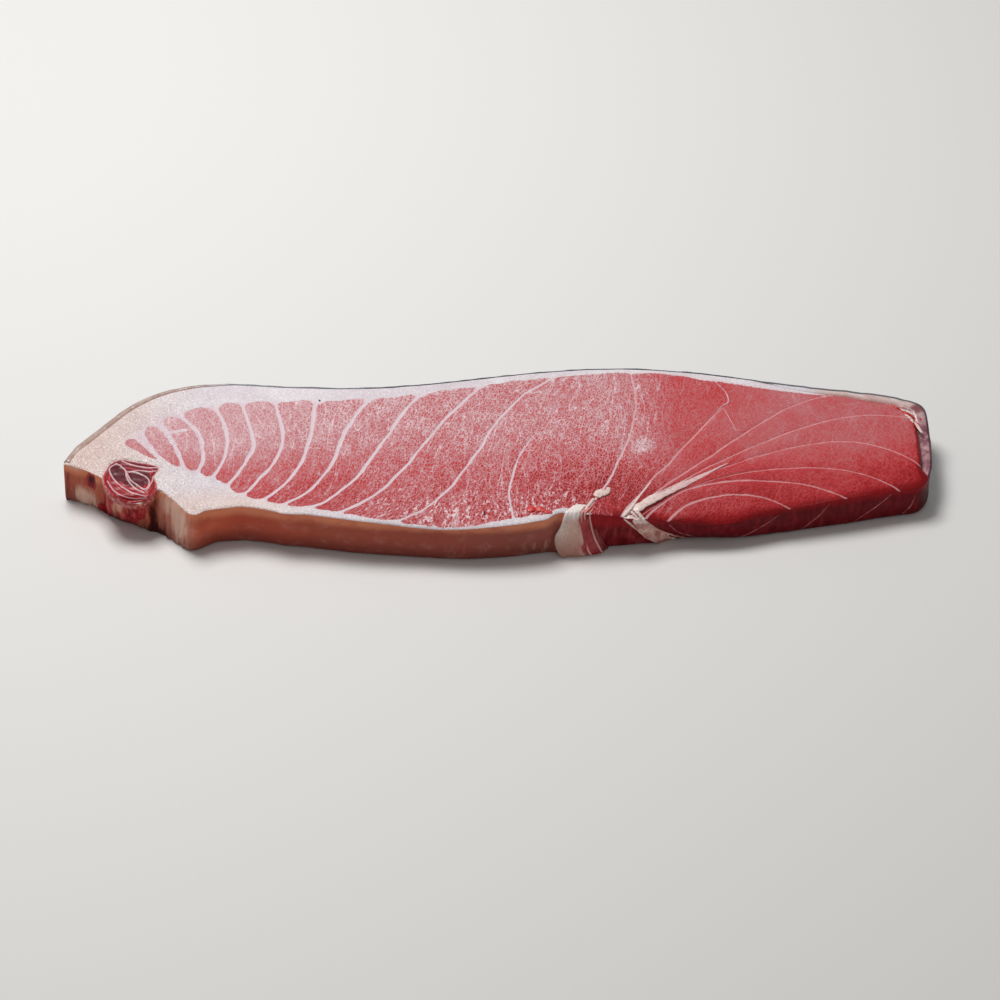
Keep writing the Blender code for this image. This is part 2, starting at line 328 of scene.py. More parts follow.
# Where the flesh turns from its front to its back paleness, behind the front edge, against X.
TURNS_PALE = [(-150, 16, 66), (-120, 16, 82), (-60, 14, 100), (20, 14, 100), (60, 8, 78), (110, 3, 58)]
MARBLE = [(-230, 0.5), (-150, 0.55), (-100, 0.75), (-40, 0.95), (60, 1.0), (80, 0.85), (104, 0.42),
          (150, 0.24), (250, 0.2)]
# One painted sheen, a frosty paler patch where light glances off the wet face: its middle, its
# reach both ways and its strength.
PAINTED_SHEEN_PATCH = ((80.5, 1), (9, 7), 0.22)
# Darker rims: strength and depth along the front edge of the lean fan, and beside the skin.
FAN_START = 60
LEAN_RIM, SKIN_RIM = (0.3, 3.5), (0.6, 1.0)


def outside_segment(x, y, start, end, start_half, end_half):
    """Distance of places from the straight line between two points, less its half width, which
    changes evenly from one end to the other."""
    axis = np.subtract(end, start)
    t = np.clip(((x - start[0]) * axis[0] + (y - start[1]) * axis[1]) / (axis @ axis), 0, 1)
    half = start_half + (end_half - start_half) * t
    return np.hypot(x - start[0] - t * axis[0], y - start[1] - t * axis[1]) - half


def face_layers():
    """What the cut face shows at each grid place: distance into the muscle (below zero in fat
    or sinew), distance into the rim of fat, paleness, strength of the marbling, and wisps."""
    x, y = PLAN[..., 0], PLAN[..., 1]
    index, to_far = nearest_on(FAR[FAR_RUN < FAR_EDGE_RUN], x, y)
    skin = np.interp(FAR_RUN[index], SKIN_RUN, SKIN_THICK)
    behind = behind_edge(x, y)
    wobble = 0.8 * soft_noise(x, y, 7, 3) + 0.6 * soft_noise(x, y, 2.6, 4)
    past_far, past_front = to_far - read_at(FAT_FAR, x), behind - read_at(FAT_FRONT, x)
    into_rim = np.minimum(past_far, past_front) + wobble * np.interp(x, (60, 100), (1, 0.5))
    beside = SINEW_OFF - SINEW_HALF + 0.12 * soft_noise(x, y, 2.4, 5)
    curve = read_at(LOBE_ROUND, x) * np.where(past_far < past_front, 1, LOBE_TIP)
    corner = np.hypot(np.maximum(curve - beside, 0), np.maximum(curve - into_rim, 0))
    deep = (beside > curve) & (into_rim > curve)
    muscle = np.where(deep, np.minimum(beside, into_rim), curve - corner)
    small = -outside_segment(x, y, *SMALL_LOBE)
    muscle = np.where(COLUMNS[:, None] < 1, np.maximum(small, -3), muscle)
    in_third = (COLUMNS[:, None] > LOBE_SPLIT_COLUMNS[0]) & (COLUMNS[:, None] < LOBE_SPLIT_COLUMNS[1])
    muscle = np.where(in_third, np.minimum(muscle, outside_segment(x, y, *LOBE_SPLIT)), muscle)
    pale_back, pale_front = read_at(PALE_BACK, x), read_at(PALE_FRONT, x)
    turned = eased(behind, read_at(TURNS_PALE, x), read_at(TURNS_PALE, x, 2))
    pale = pale_front + (pale_back - pale_front) * turned
    pale = pale + 0.06 * soft_noise(x, y, 25, 6) + 0.05 * soft_noise(x, y, 9, 7)
    # Painted sheen: the face is made paler in one patch, standing in for light glancing off it.
    centre, reach, strength = PAINTED_SHEEN_PATCH
    sheen_distance = np.hypot((x - centre[0]) / reach[0], (y - centre[1]) / reach[1]) + 0.25 * soft_noise(x, y, 6, 11)
    pale = pale + strength * (1 - eased(sheen_distance, 0.6, 1.15))
    pale = pale - LEAN_RIM[0] * bump(behind, LEAN_RIM[1]) * (x > FAN_START)
    pale = pale - SKIN_RIM[0] * bump(np.maximum(to_far - skin, 0), SKIN_RIM[1]) * eased(x, 205, 222)
    marble = read_at(MARBLE, x) * (1 - 0.8 * bump(behind, 5) * (x > FAN_START))
    wisps = bump(behind - 9, 18) * np.interp(x, (-100, -40, 36, 52), (0.25, 1, 1, 0)) + 0.05
    return muscle, into_rim, pale, marble, wisps


MUSCLE, INTO_RIM, PALE, MARBLING, WISPS = face_layers()


def grain_grid():
    """Coordinates along the fibres, in millimetres. The fibres lean half way from the sinews to
    the Y axis, so both are the mean of the plan's coordinates and the columns' own: across, by
    the width between columns half way along, and along, by the length of the column."""
    across = run_along(PLAN[:, len(SHARES) // 2])[:, None] + PLAN[..., 0]
    return np.stack([across, LENGTH[:, None] * SHARES + PLAN[..., 1]], axis=2) / 2


# The outline of the fin muscle, which is let into the fat of the fin end.
FIN_OUTLINE = [(-230.9, -26.8), (-229.1, -19), (-225.6, -13), (-220.8, -10.9), (-211.9, -13),
               (-203.6, -15.2), (-198.1, -17.8), (-198.7, -21.6), (-201, -26.8), (-199.3, -33.6),
               (-199.4, -39.5), (-202.3, -46.7), (-207.5, -50.4), (-214, -51.3), (-219, -48.8),
               (-224, -44.6), (-227.5, -39.5), (-230, -33.6)]
FIN_MIDDLE = np.array([-214.5, -30.0])
FIN_EDGE = smooth_line(FIN_OUTLINE + FIN_OUTLINE[:1], 8)[:-1]
FIN_SOCKET = 2.2
# Relief of the cut face: depth and half width of the grooves on the sinews, and height and reach
# of the swelling of the muscle between them.
SINEW_GROOVE, MUSCLE_SWELL = (0.3, 1.3), (0.3, 3)
# How far the rim is rounded down, and within what reach: at the front, along the lean ridge and
# at the left end. The last two are measured by columns of about these widths.
FRONT_ROUND, RIDGE_ROUND, LEFT_ROUND = (0.9, 1.3), (2.0, 2.6), (0.5, 1.3)
RIDGE_COLUMN, LEFT_COLUMN = 30, 40


def fin_share(x, y):
    """How far out in the fin muscle places lie: 0 in its middle, 1 on its outline."""
    edge = FIN_EDGE - FIN_MIDDLE
    angles = np.arctan2(edge[:, 1], edge[:, 0])
    order = np.argsort(angles)
    reach = np.interp(np.arctan2(y - FIN_MIDDLE[1], x - FIN_MIDDLE[0]), angles[order],
                      np.linalg.norm(edge, axis=1)[order], period=2 * np.pi)
    return np.hypot(x - FIN_MIDDLE[0], y - FIN_MIDDLE[1]) / reach


def rounded(distance, drop, reach):
    """How far the face is rounded down at a distance from its rim."""
    return drop * np.exp(-distance / reach)


def top_sheet():
    """The cut face: the grid pushed out along its front, at the top's height, sunk a little on
    each sinew, swollen between them, sunk under the fin muscle and rounded over at the rim. The
    fat at the fin end is lumpy, and the front of the lean end has low wet ripples."""
    x, y = PLAN[..., 0], PLAN[..., 1]
    z = top_height(x, y)
    inner = np.sin(np.pi * SHARES)[None, :]
    z = z - SINEW_GROOVE[0] * bump(SINEW_OFF, SINEW_GROOVE[1]) * (SINEW_HALF > 0) * (INTO_RIM > 0) * inner
    z = z + MUSCLE_SWELL[0] * (1 - np.exp(-np.maximum(MUSCLE, 0) / MUSCLE_SWELL[1])) * inner
    lumpy = 0.09 + (0.26 + 0.22 * bump(y + 45, 22)) * eased(-MUSCLE, 0, 2) * eased(-x, 150, 175)
    z = z + lumpy * (soft_noise(x, y, 2.3, 12) + soft_noise(x, y, 4.1, 13)) * inner
    ripples = 0.16 * bump(behind_edge(x, y) - 14, 13) * eased(x, 105, 135)
    z = z + ripples * (soft_noise(x, y, 3.2, 15) + soft_noise(x, y, 5.5, 18)) * inner
    to_front = SHARES[None, :] * LENGTH[:, None]
    to_far = (1 - SHARES)[None, :] * LENGTH[:, None]
    right = eased(x, 200, 225)
    z = z - rounded(to_front, *FRONT_ROUND) - rounded(to_far, 0.3 + 1.2 * right, 1.2 + right)
    to_ridge = (COLUMNS[-1] - COLUMNS)[:, None] * RIDGE_COLUMN
    z = z - rounded(to_ridge, *RIDGE_ROUND) * eased(SHARES, 0, 0.06)[None, :]
    z = z - rounded(COLUMNS[:, None] * LEFT_COLUMN, *LEFT_ROUND)
    y = y - front_push(x, False) * np.exp(-behind_edge(x, y) / PUSH_REACH)
    z = z - FIN_SOCKET * (1 - eased(fin_share(x, y), 0.9, 1.02))
    return np.stack([x, y, z], axis=2)


def foot_sheet():
    """The under side: pushed with the front, drawn in under the lean ridge, and set in a little
    under the skin side and the right end."""
    x, y = PLAN[..., 0], PLAN[..., 1]
    centre, half_width, overhang = LEAN_OVERHANG
    is_front = np.exp(-behind_edge(x, y) / PUSH_REACH)
    forward = front_push(x, True) - overhang * bump(x - centre, half_width)
    index, distance = nearest_on(FAR, x, y)
    inset = SKIN_FOOT_INSET * np.exp(-distance / PUSH_REACH) * (1 - is_front)
    inward = FAR_INWARD[index] * inset[..., None]
    foot_y = y - forward * is_front + inward[..., 1]
    return np.stack([x + inward[..., 0], foot_y, np.zeros_like(x)], axis=2)


def ring_of(grid):
    """The outer places of a grid of columns, anticlockwise: front, right end, far side, left end."""
    return np.concatenate([grid[:-1, 0], grid[-1, :-1], grid[:0:-1, -1], grid[0, :0:-1]])


def quads_between(a, b):
    """Faces between two closed rings of vertex numbers, a above b."""
    return np.stack([a, b, np.roll(b, -1), np.roll(a, -1)], axis=1)


def sheet_quads(number):
    """Faces of a grid of vertex numbers, anticlockwise seen from above."""
    corners = [number[:-1, :-1], number[1:, :-1], number[1:, 1:], number[:-1, 1:]]
    return np.stack(corners, axis=-1).reshape(-1, 4)


def put_mesh(name, points, faces, attributes=(), smooth=True):
    """A mesh object from points in millimetres in the drawing plan, with its float attributes."""
    mesh = bpy.data.meshes.new(name)
    placed = (np.asarray(points, float) - [*PLAN_MIDDLE, 0]) * MM
    mesh.from_pydata(placed.tolist(), [], [list(map(int, f)) for f in faces])
    for key, values in dict(attributes).items():
        values = np.asarray(values, np.float32)
        kind = "FLOAT_VECTOR" if values.ndim == 2 else "FLOAT"
        layer = mesh.attributes.new(key, kind, "POINT")
        layer.data.foreach_set("vector" if values.ndim == 2 else "value", values.ravel())
    mesh.polygons.foreach_set("use_smooth", np.full(len(mesh.polygons), smooth))
    mesh.update()
    thing = bpy.data.objects.new(name, mesh)
    bpy.context.collection.objects.link(thing)
    return thing


# Grooves of the fin end's wall, where the fin rays were cut: X at the top, half width, depth.
FIN_GROOVES = [(-243.5, 1.2, 0.8), (-237, 2.4, 1.6), (-229.5, 1.6, 2.0), (-224.5, 0.9, 1.2),
               (-220.8, 0.9, 1.2), (-215, 3.0, 1.4), (-210.2, 0.8, 1.2), (-205.5, 1.0, 1.2),
               (-200, 1.8, 2.2), (-194.5, 1.2, 1.6), (-190.5, 0.8, 1.0), (-185, 0.9, 0.9),
               (-181, 0.7, 0.6)]


def wall_relief(rim, level):
    """Unevenness of the wall: soft waves along the lining, and the fin end's slanting grooves."""
    x, below = rim[:, 0], (1 - level) * WALL_TALL
    waves = 0.35 * soft_noise(x, below, 11, 8) + 0.2 * soft_noise(x, below, 4, 9)
    grooves = sum(depth * bump(x + 0.06 * below - at, half) for at, half, depth in FIN_GROOVES)
    rough = 0.45 * soft_noise(x + 0.3 * below, below * 0.25, 2.0, 10) * bump(x + 212, 32)
    return waves + np.where(rim[:, 1] < -14, rough - grooves * min(1, 0.35 + 1.2 * (1 - level)), 0)


def into_ring(ring):
    """Unit vectors into a closed anticlockwise ring, square to the chord between neighbours."""
    return turned_left(np.roll(ring, -1, axis=0) - np.roll(ring, 1, axis=0))


def wall_rings(rim, foot):
    """Rings from just under the rim to the foot: straight between the two, with a bulge half way
    down, the foot rounded in, and relief along the outward normal. Behind the skin it is flatter."""
    outward = -into_ring(foot)
    bulge = WALL_BULGE * np.interp(rim[:, 0], (-250, -240), (0, 1))
    under_skin = np.interp(rim[:, 1], (0, 20), (1, 0.3))
    rings = []
    for level, step in zip(WALL_LEVELS[:-1], FOOT_ROUND[:-1]):
        place = level * rim[:, :2] + (1 - level) * foot[:, :2]
        belly = math.sin(math.pi * level)
        fade = min(1, 3.0 * belly ** 0.6) * np.interp(rim[:, 0], (-252, -246), (0, 1))
        push = (bulge * belly + wall_relief(rim, level) * fade) * under_skin - step
        rings.append(np.column_stack([place + outward * push[:, None], level * rim[:, 2]]))
    return rings


# Colours of the wall in patches: X, height, reach in X and in height, and strength. Red is raw
# muscle and blood, pale is fat, and dark is painted shade in the deep cleft and along the foot,
# with a dark blood spot and dark marks at the left edge and the right end.
RED_PATCHES = [(-237, 19, 3.2, 6, 1.2), (-228.5, 7, 3.2, 8, 1.1), (-232, 3, 3, 4, 0.9), (-226, 18, 3, 6, 0.7),
               (-214.5, 10, 4.5, 13, 1.1), (-221, 4, 3, 4, 0.7), (-208, 14, 3.5, 8, 0.8)]
PALE_PATCHES = [(-239, 6, 6, 8, 1.0), (-245, 6, 3.5, 6, 0.9), (-193, 21, 5, 5, 0.6),
                (-221.5, 16, 3.0, 8, 0.8), (-226, 9, 1.6, 8, 0.5), (-208, 23, 3, 4, 0.5),
                (-186, 16, 5, 13, 1.1), (-247, 25, 6, 2, 0.6), (-20, 8, 24, 5, 0.15),
                (20, 6, 10, 6, 0.25)]
SHADE_AND_BLOOD_PATCHES = [(-202, 10, 2.6, 14, 0.9), (-237, 20, 1.8, 3.5, 1.2), (-226, 1, 12, 3, 0.75),
                (-205, 2, 8, 4, 0.6), (-195, 1, 6, 3, 0.6), (-252, 12, 3, 14, 0.3),
                (244, 9, 5, 11, 0.9)]
# From the left to the right end, the line in the plan that the front wall lies in front of.
FRONT_HALF = [(-250, -12), (240, 20)]
# Wall places that strands may lie on reach this far behind the front edge.
WALL_REACH = 9


def patch_sum(patches, x, z):
    """Sum of soft oval patches on the wall."""
    return sum(strength * bump(np.hypot((x - at) / reach, (z - height) / tall), 1)
               for at, height, reach, tall, strength in patches)


def belly_meat():
    """The closed body: cut face, walls and under side. The under side keeps every sixth row."""
    top, foot = top_sheet(), foot_sheet()
    columns, rows = MUSCLE.shape
    count = columns * rows
    number = np.arange(count).reshape(columns, rows)
    rim, foot_ring = ring_of(top), ring_of(foot)[:, :2]
    ring_size = len(rim)
    rings = wall_rings(rim, foot_ring)
    index, distance = nearest_on(foot_ring, foot[..., 0], foot[..., 1])
    foot[..., :2] += into_ring(foot_ring)[index] * (FOOT_ROUND[-1] * np.exp(-distance / 6))[..., None]
    kept = np.unique(np.r_[0:rows:UNDER_ROW_STEP, rows - 1])
    # The under side's vertices: its ring first, then the inner places of the kept rows.
    ring_at = count + len(rings) * ring_size
    under = np.full((columns, rows), -1)
    ring_number = ring_at + np.arange(ring_size)
    under[:-1, 0], under[-1, :-1] = ring_number[:columns - 1], ring_number[columns - 1:columns + rows - 2]
    under[:0:-1, -1] = ring_number[columns + rows - 2:2 * columns + rows - 3]
    under[0, :0:-1] = ring_number[2 * columns + rows - 3:]
    inner = foot[1:-1][:, kept[1:-1]]
    inner_at = ring_at + ring_size
    under[1:-1, kept[1:-1]] = (inner_at + np.arange(inner[..., 0].size)).reshape(inner.shape[:2])
    points = [top.reshape(-1, 3), *rings, ring_of(foot), inner.reshape(-1, 3)]
    faces = [sheet_quads(number).tolist()]
    upper = ring_of(number)
    for k in range(len(rings) + 1):
        lower = count + k * ring_size + np.arange(ring_size)
        faces.append(quads_between(upper, lower).tolist())
        upper = lower
    faces.append(sheet_quads(under[1:-1][:, kept])[:, ::-1].tolist())
    ends = []
    for low, high in zip(kept[:-1], kept[1:]):
        ends.append([*under[0, low:high + 1], under[1, high], under[1, low]])
        ends.append([*under[-1, high:low - 1 if low else None:-1], under[-2, low], under[-2, high]])
    faces.append([list(map(int, face)) for face in ends])

    def spread(values):
        """Values of the grid for the top, each ring of the wall and the under side."""
        edge = ring_of(values)
        rest = values[1:-1][:, kept[1:-1]]
        return np.concatenate([values.reshape(count, *values.shape[2:])] + [edge] * (len(rings) + 1)
                              + [rest.reshape(-1, *values.shape[2:])])

    grain = spread(np.dstack([grain_grid(), np.zeros_like(MUSCLE)]))
    everything = np.concatenate(points)
    wall = slice(count, ring_at + ring_size)
    grain[wall, 2] = WALL_TALL - everything[wall, 2]
    is_front = rim[:, 1] < read_at(FRONT_HALF, rim[:, 0])
    x, z = np.tile(rim[:, 0], len(rings) + 1), everything[wall, 2]
    patches = np.zeros((len(everything), 3))
    for k, table in enumerate((RED_PATCHES, PALE_PATCHES, SHADE_AND_BLOOD_PATCHES)):
        patches[wall, k] = patch_sum(table, x, z) * np.tile(is_front, len(rings) + 1)
    attributes = {"muscle": spread(MUSCLE), "into_rim": spread(INTO_RIM), "pale": spread(PALE),
                  "marble": spread(MARBLING), "wisps": spread(WISPS), "grain": grain, "patches": patches}
    thing = put_mesh("belly_meat", everything, [face for group in faces for face in group], attributes)
    kinds = np.zeros(len(thing.data.polygons), np.int32)
    walls_end = len(faces[0]) + (len(rings) + 1) * ring_size
    kinds[len(faces[0]):walls_end] = 1
    thing.data.polygons.foreach_set("material_index", kinds)
    near_edge = is_front & (read_at(EDGE, rim[:, 0]) > rim[:, 1] - WALL_REACH)
    wall_places = [ring[near_edge] for ring in (rim, *rings, ring_of(foot))]
    return thing, top, wall_places


def to_linear(colour):
    """Colour as read off a screen, 0 to 255, as linear light for a shader."""
    shares = [c / 255 for c in colour]
    return *(s / 12.92 if s <= 0.04045 else ((s + 0.055) / 1.055) ** 2.4 for s in shares), 1.0


class Nodes:
    """A material's or a group's node tree, with short calls that add one node or a few."""

    def __init__(self, tree):
        self.tree = tree

    def feed(self, socket, value):
        """Links another socket into this one, or sets its own value."""
        if isinstance(value, bpy.types.NodeSocket):
            self.tree.links.new(value, socket)
        else:
            socket.default_value = value

    def add(self, kind, inputs=(), **settings):
        """A node with its settings, and its inputs by name or number: values or sockets."""
        node = self.tree.nodes.new(kind)
        for key, setting in settings.items():
            setattr(node, key, setting)
        for key, value in dict(inputs).items():
            self.feed(node.inputs[key], value)
        return node

    def math(self, operation, a, b=0.0, clamp=False):
        """One operation on two values."""
        return self.add("ShaderNodeMath", {0: a, 1: b}, operation=operation, use_clamp=clamp).outputs[0]

    def plus(self, a, b):
        """Sum of two values."""
        return self.math("ADD", a, b)

    def minus(self, a, b):
        """First value less the second."""
        return self.math("SUBTRACT", a, b)

    def times(self, a, b, clamp=False):
        """Product of two values."""
        return self.math("MULTIPLY", a, b, clamp)

    def weighed(self, a, a_share, b, b_share):
        """Sum of two values, each times its share."""
        return self.plus(self.times(a, a_share), self.times(b, b_share))

    def swing(self, noise, amount):
        """Noise moved to swing about zero, times an amount."""
        return self.times(self.minus(noise, 0.5), amount)

    def ease(self, value, low, high, start=0.0, end=1.0):
        """Value taken from low..high to start..end with soft ends."""
        inputs = {"Value": value, "From Min": low, "From Max": high, "To Min": start, "To Max": end}
        return self.add("ShaderNodeMapRange", inputs, interpolation_type="SMOOTHSTEP").outputs["Result"]

    def mix(self, factor, *colours):
        """Two colours mixed: sockets or screen colours."""
        node = self.add("ShaderNodeMix", {"Factor": factor}, data_type="RGBA")
        for socket, colour in zip((node.inputs[6], node.inputs[7]), colours):
            self.feed(socket, colour if isinstance(colour, bpy.types.NodeSocket) else to_linear(colour))
        return node.outputs[2]

    def value_of(self, name, output="Fac"):
        """One of the piece's own attributes."""
        return self.add("ShaderNodeAttribute", attribute_name=name).outputs[output]

    def where(self):
        """Object coordinates, in metres."""
        return self.add("ShaderNodeTexCoord").outputs["Object"]

    def axes(self, letters, source=None):
        """Parts of Object coordinates, or of another vector, by their letters."""
        split = self.add("ShaderNodeSeparateXYZ", {0: self.where() if source is None else source})
        return [split.outputs[letter] for letter in letters]

    def place(self, stretch, source=None):
        """Object coordinates, or another vector, scaled along each axis or evenly."""
        scale = stretch if isinstance(stretch, tuple) else (stretch,) * 3
        source = self.where() if source is None else source
        return self.add("ShaderNodeMapping", {"Vector": source, "Scale": scale}).outputs["Vector"]

    def noise(self, vector, detail=2.0, roughness=0.5, distortion=0.0):
        """Soft noise with lumps of about one unit."""
        inputs = {"Vector": vector, "Scale": 1.0, "Detail": detail, "Roughness": roughness,
                  "Distortion": distortion}
        return self.add("ShaderNodeTexNoise", inputs).outputs["Fac"]

    def cells(self, vector, feature="DISTANCE_TO_EDGE"):
        """Distance within cells of about one unit."""
        node = self.add("ShaderNodeTexVoronoi", {"Vector": vector, "Scale": 1.0}, feature=feature)
        return node.outputs["Distance"]

    def veins(self, vector, width, detail=2.0, distortion=0.6):
        """Thin wandering lines: where soft noise passes through its middle value."""
        off = self.math("ABSOLUTE", self.minus(self.noise(vector, detail, 0.55, distortion), 0.5))
        return self.ease(off, 0.0, width, 1.0, 0.0)

    def ramp(self, value, stops):
        """Colours by value; the stops are (place, screen colour)."""
        node = self.add("ShaderNodeValToRGB", {"Fac": value})
        ramp = node.color_ramp
        while len(ramp.elements) < len(stops):
            ramp.elements.new(0.5)
        for element, (at, colour) in zip(ramp.elements, stops):
            element.position = at
            element.color = to_linear(colour)
        return node.outputs["Color"]

    def bumped(self, height, distance, strength=0.5, under=None):
        """Normal of a bump of that height in metres, over another normal if one is given."""
        inputs = {"Height": height, "Distance": distance, "Strength": strength}
        if under is not None:
            inputs["Normal"] = under
        return self.add("ShaderNodeBump", inputs).outputs["Normal"]

    def grouped(self, group, **inputs):
        """Outputs of a shared group placed on Object coordinates, with its other inputs."""
        inputs["Vector"] = self.where()
        return self.add("ShaderNodeGroup", inputs, node_tree=group).outputs


def new_material(name, **constants):
    """A material with a Principled shader whose constants are set on its own sockets."""
    material = bpy.data.materials.new(name)
    material.use_nodes = True
    shader = material.node_tree.nodes["Principled BSDF"]
    for key, value in constants.items():
        shader.inputs[key.replace("_", " ")].default_value = value
    return material, Nodes(material.node_tree), shader


def wet_material(name, specular, coat, coat_roughness, index=1.4):
    """A material of wet tissue: index of refraction, specular level, and a thin coat of water."""
    return new_material(name, IOR=index, Specular_IOR_Level=specular, Coat_Weight=coat,
                        Coat_Roughness=coat_roughness)


def finish_material(n, shader, colour, roughness, normal):
    """Joins the last colour, roughness and normal to the shader."""
    for name, socket in (("Base Color", colour), ("Roughness", roughness), ("Normal", normal)):
        n.feed(shader.inputs[name], socket)


def new_group(name, inputs, outputs):
    """An empty node group with named sockets: its nodes, what it is given and what it puts out."""
    tree = bpy.data.node_groups.new(name, "ShaderNodeTree")
    kinds = {"value": "NodeSocketFloat", "vector": "NodeSocketVector", "colour": "NodeSocketColor"}
    for direction, sockets in (("INPUT", inputs), ("OUTPUT", outputs)):
        for key, kind in sockets.items():
            tree.interface.new_socket(name=key, in_out=direction, socket_type=kinds[kind])
    nodes = Nodes(tree)
    return nodes, nodes.add("NodeGroupInput").outputs, nodes.add("NodeGroupOutput").inputs


def moist_group():
    """Moist surface: fine beads of wet, as a roughness between two values and a height."""
    n, given, out = new_group("moist", {"Vector": "vector", "Wet": "value", "Dry": "value"},
                              {"Roughness": "value", "Height": "value"})
    beads = n.noise(n.place(650, given["Vector"]), 2.0, 0.6)
    pools = n.noise(n.place(140, given["Vector"]))
    film = n.weighed(beads, 0.6, pools, 0.4)
    spread = n.add("ShaderNodeMapRange", {"Value": film, "From Min": 0.38, "From Max": 0.62,
                                          "To Min": given["Wet"], "To Max": given["Dry"]})
    n.feed(out["Roughness"], spread.outputs["Result"])
    n.feed(out["Height"], film)
    return n.tree


def fat_group():
    """Fat: bluish white to cream by warmth, clouded, with fine translucent globules."""
    n, given, out = new_group("fat", {"Vector": "vector", "Warmth": "value"},
                              {"Color": "colour", "Height": "value"})
    clouds = n.noise(n.place(55, given["Vector"]), 3.0, 0.6)
    globules = n.cells(n.place(900, given["Vector"]), "SMOOTH_F1")
    tone = n.weighed(clouds, 0.6, globules, 0.6)
    cool = n.ramp(tone, [(0.25, (206, 192, 202)), (0.55, (225, 216, 223)), (0.8, (240, 236, 240))])
    warm = n.ramp(tone, [(0.25, (208, 172, 158)), (0.55, (226, 198, 186)), (0.8, (240, 224, 215))])
    n.feed(out["Color"], n.mix(given["Warmth"], cool, warm))
    n.feed(out["Height"], globules)
    return n.tree


MOIST, FAT = moist_group(), fat_group()


def finish_moist(n, shader, colour, wet, dry, depth, grain=None, share=0.0, strength=0.5):
    """Joins a colour to the shader under the moist film. The film gives the roughness, between
    its wet and dry values, and the bump, in which the piece's own grain has the given share."""
    film = n.grouped(MOIST, Wet=wet, Dry=dry)
    relief = film["Height"] if grain is None else n.weighed(grain, share, film["Height"], 1 - share)
    finish_material(n, shader, colour, film["Roughness"], n.bumped(relief, depth, strength))


# Colours of the flesh by its share of fat, from lean to pure fat.
FLESH_STOPS = [(0.0, (138, 6, 14)), (0.1, (166, 24, 32)), (0.21, (190, 51, 56)), (0.32, (196, 81, 85)),
               (0.43, (194, 105, 109)), (0.57, (199, 134, 139)), (0.72, (211, 167, 173)),
               (1.0, (237, 212, 217))]
FAT_SHARE_RANGE = 1.4


def cut_face_material():
    """Moist cut flesh: its share of fat sets its colour, fat marbles it in a fine net of threads
    drawn out along the grain, with white curls near the lining, and where the distance into the
    muscle falls below zero it is sinew or fat."""
    material, n, shader = wet_material("cut_face", 0.35, 0.06, 0.12)
    grain = n.value_of("grain", "Vector")
    marble, pale, wisps, into_rim = (n.value_of(name) for name in ("marble", "pale", "wisps", "into_rim"))
    swirl = n.add("ShaderNodeTexNoise", {"Vector": grain, "Scale": 0.35, "Detail": 1.0}).outputs["Color"]
    swirl = n.add("ShaderNodeVectorMath", {0: swirl, 1: (1.8, 1.8, 1.8)}, operation="MULTIPLY").outputs[0]
    curled = n.add("ShaderNodeVectorMath", {0: grain, 1: swirl}, operation="ADD").outputs[0]
    net = n.ease(n.cells(n.place((1 / 1.5, 1 / 3.6, 1), curled)), 0.0, 0.13, 1.0, 0.0)
    threads = n.veins(n.place((1 / 2.6, 1 / 11, 1), curled), 0.045, 2.0, 0.3)
    clots = n.noise(n.place((1 / 5, 1 / 13, 1), grain), 3.0, 0.6)
    speck = n.noise(n.place((1 / 0.8, 1 / 1.7, 1), grain), 2.0, 0.7)
    net = n.math("MAXIMUM", net, threads)
    net = n.times(net, n.ease(clots, 0.3, 0.65, 0.7, 1.0))
    curls = n.veins(n.place((1 / 2.3, 1 / 11, 1), curled), 0.08, 1.0, 0.5)
    broken = n.noise(n.place((1 / 2.6, 1 / 6, 1), grain), 1.0)
    curls = n.times(n.times(curls, n.ease(broken, 0.45, 0.55)), wisps, clamp=True)
    long_threads = n.veins(n.place((1 / 8, 1 / 60, 1), grain), 0.012, 1.0, 0.2)
    share = n.times(n.minus(n.times(net, 0.74), 0.22), marble)
    for part in (pale, n.swing(speck, 0.4), n.swing(clots, n.times(marble, 0.2)), curls,
                 n.times(long_threads, n.times(marble, 0.45))):
        share = n.plus(share, part)
    flesh = n.ramp(n.math("DIVIDE", share, FAT_SHARE_RANGE), FLESH_STOPS)
    x, y = n.axes("XY")
    in_front = n.times(n.ease(y, -0.03, -0.055, 0.0, 0.65), n.ease(x, -0.09, -0.15))
    warmth = n.math("MAXIMUM", n.ease(x, -0.17, -0.24, 0.05, 0.75), in_front)
    fat = n.grouped(FAT, Warmth=warmth)
    sheet = n.mix(n.ease(x, 0.05, 0.1), (226, 206, 214), (222, 156, 160))
    sinew = n.mix(n.ease(into_rim, -2.0, 4.0), fat["Color"], sheet)
    ragged = n.noise(n.place((1 / 1.2, 1 / 1.6, 1), grain), 2.0, 0.6)
    ragged = n.swing(ragged, n.ease(into_rim, 4.0, -1.0, 0.7, 2.6))
    inside = n.ease(n.plus(n.value_of("muscle"), ragged), -0.35, 0.45)
    film = n.grouped(MOIST, Wet=0.34, Dry=0.55)
    outside = n.minus(1.0, inside)
    glossy = n.times(outside, n.ease(x, -0.15, -0.2))
    roughness = n.minus(film["Roughness"], n.times(glossy, 0.26))
    normal = n.bumped(n.weighed(speck, 0.5, film["Height"], 0.5), 0.0004)
    normal = n.bumped(n.plus(net, curls), 0.00015, 0.5, normal)
    lumps = n.plus(outside, n.times(glossy, 2.0))
    normal = n.bumped(n.times(fat["Height"], lumps), 0.0004, 0.55, normal)
    finish_material(n, shader, n.mix(inside, sinew, flesh), roughness, normal)
    return material
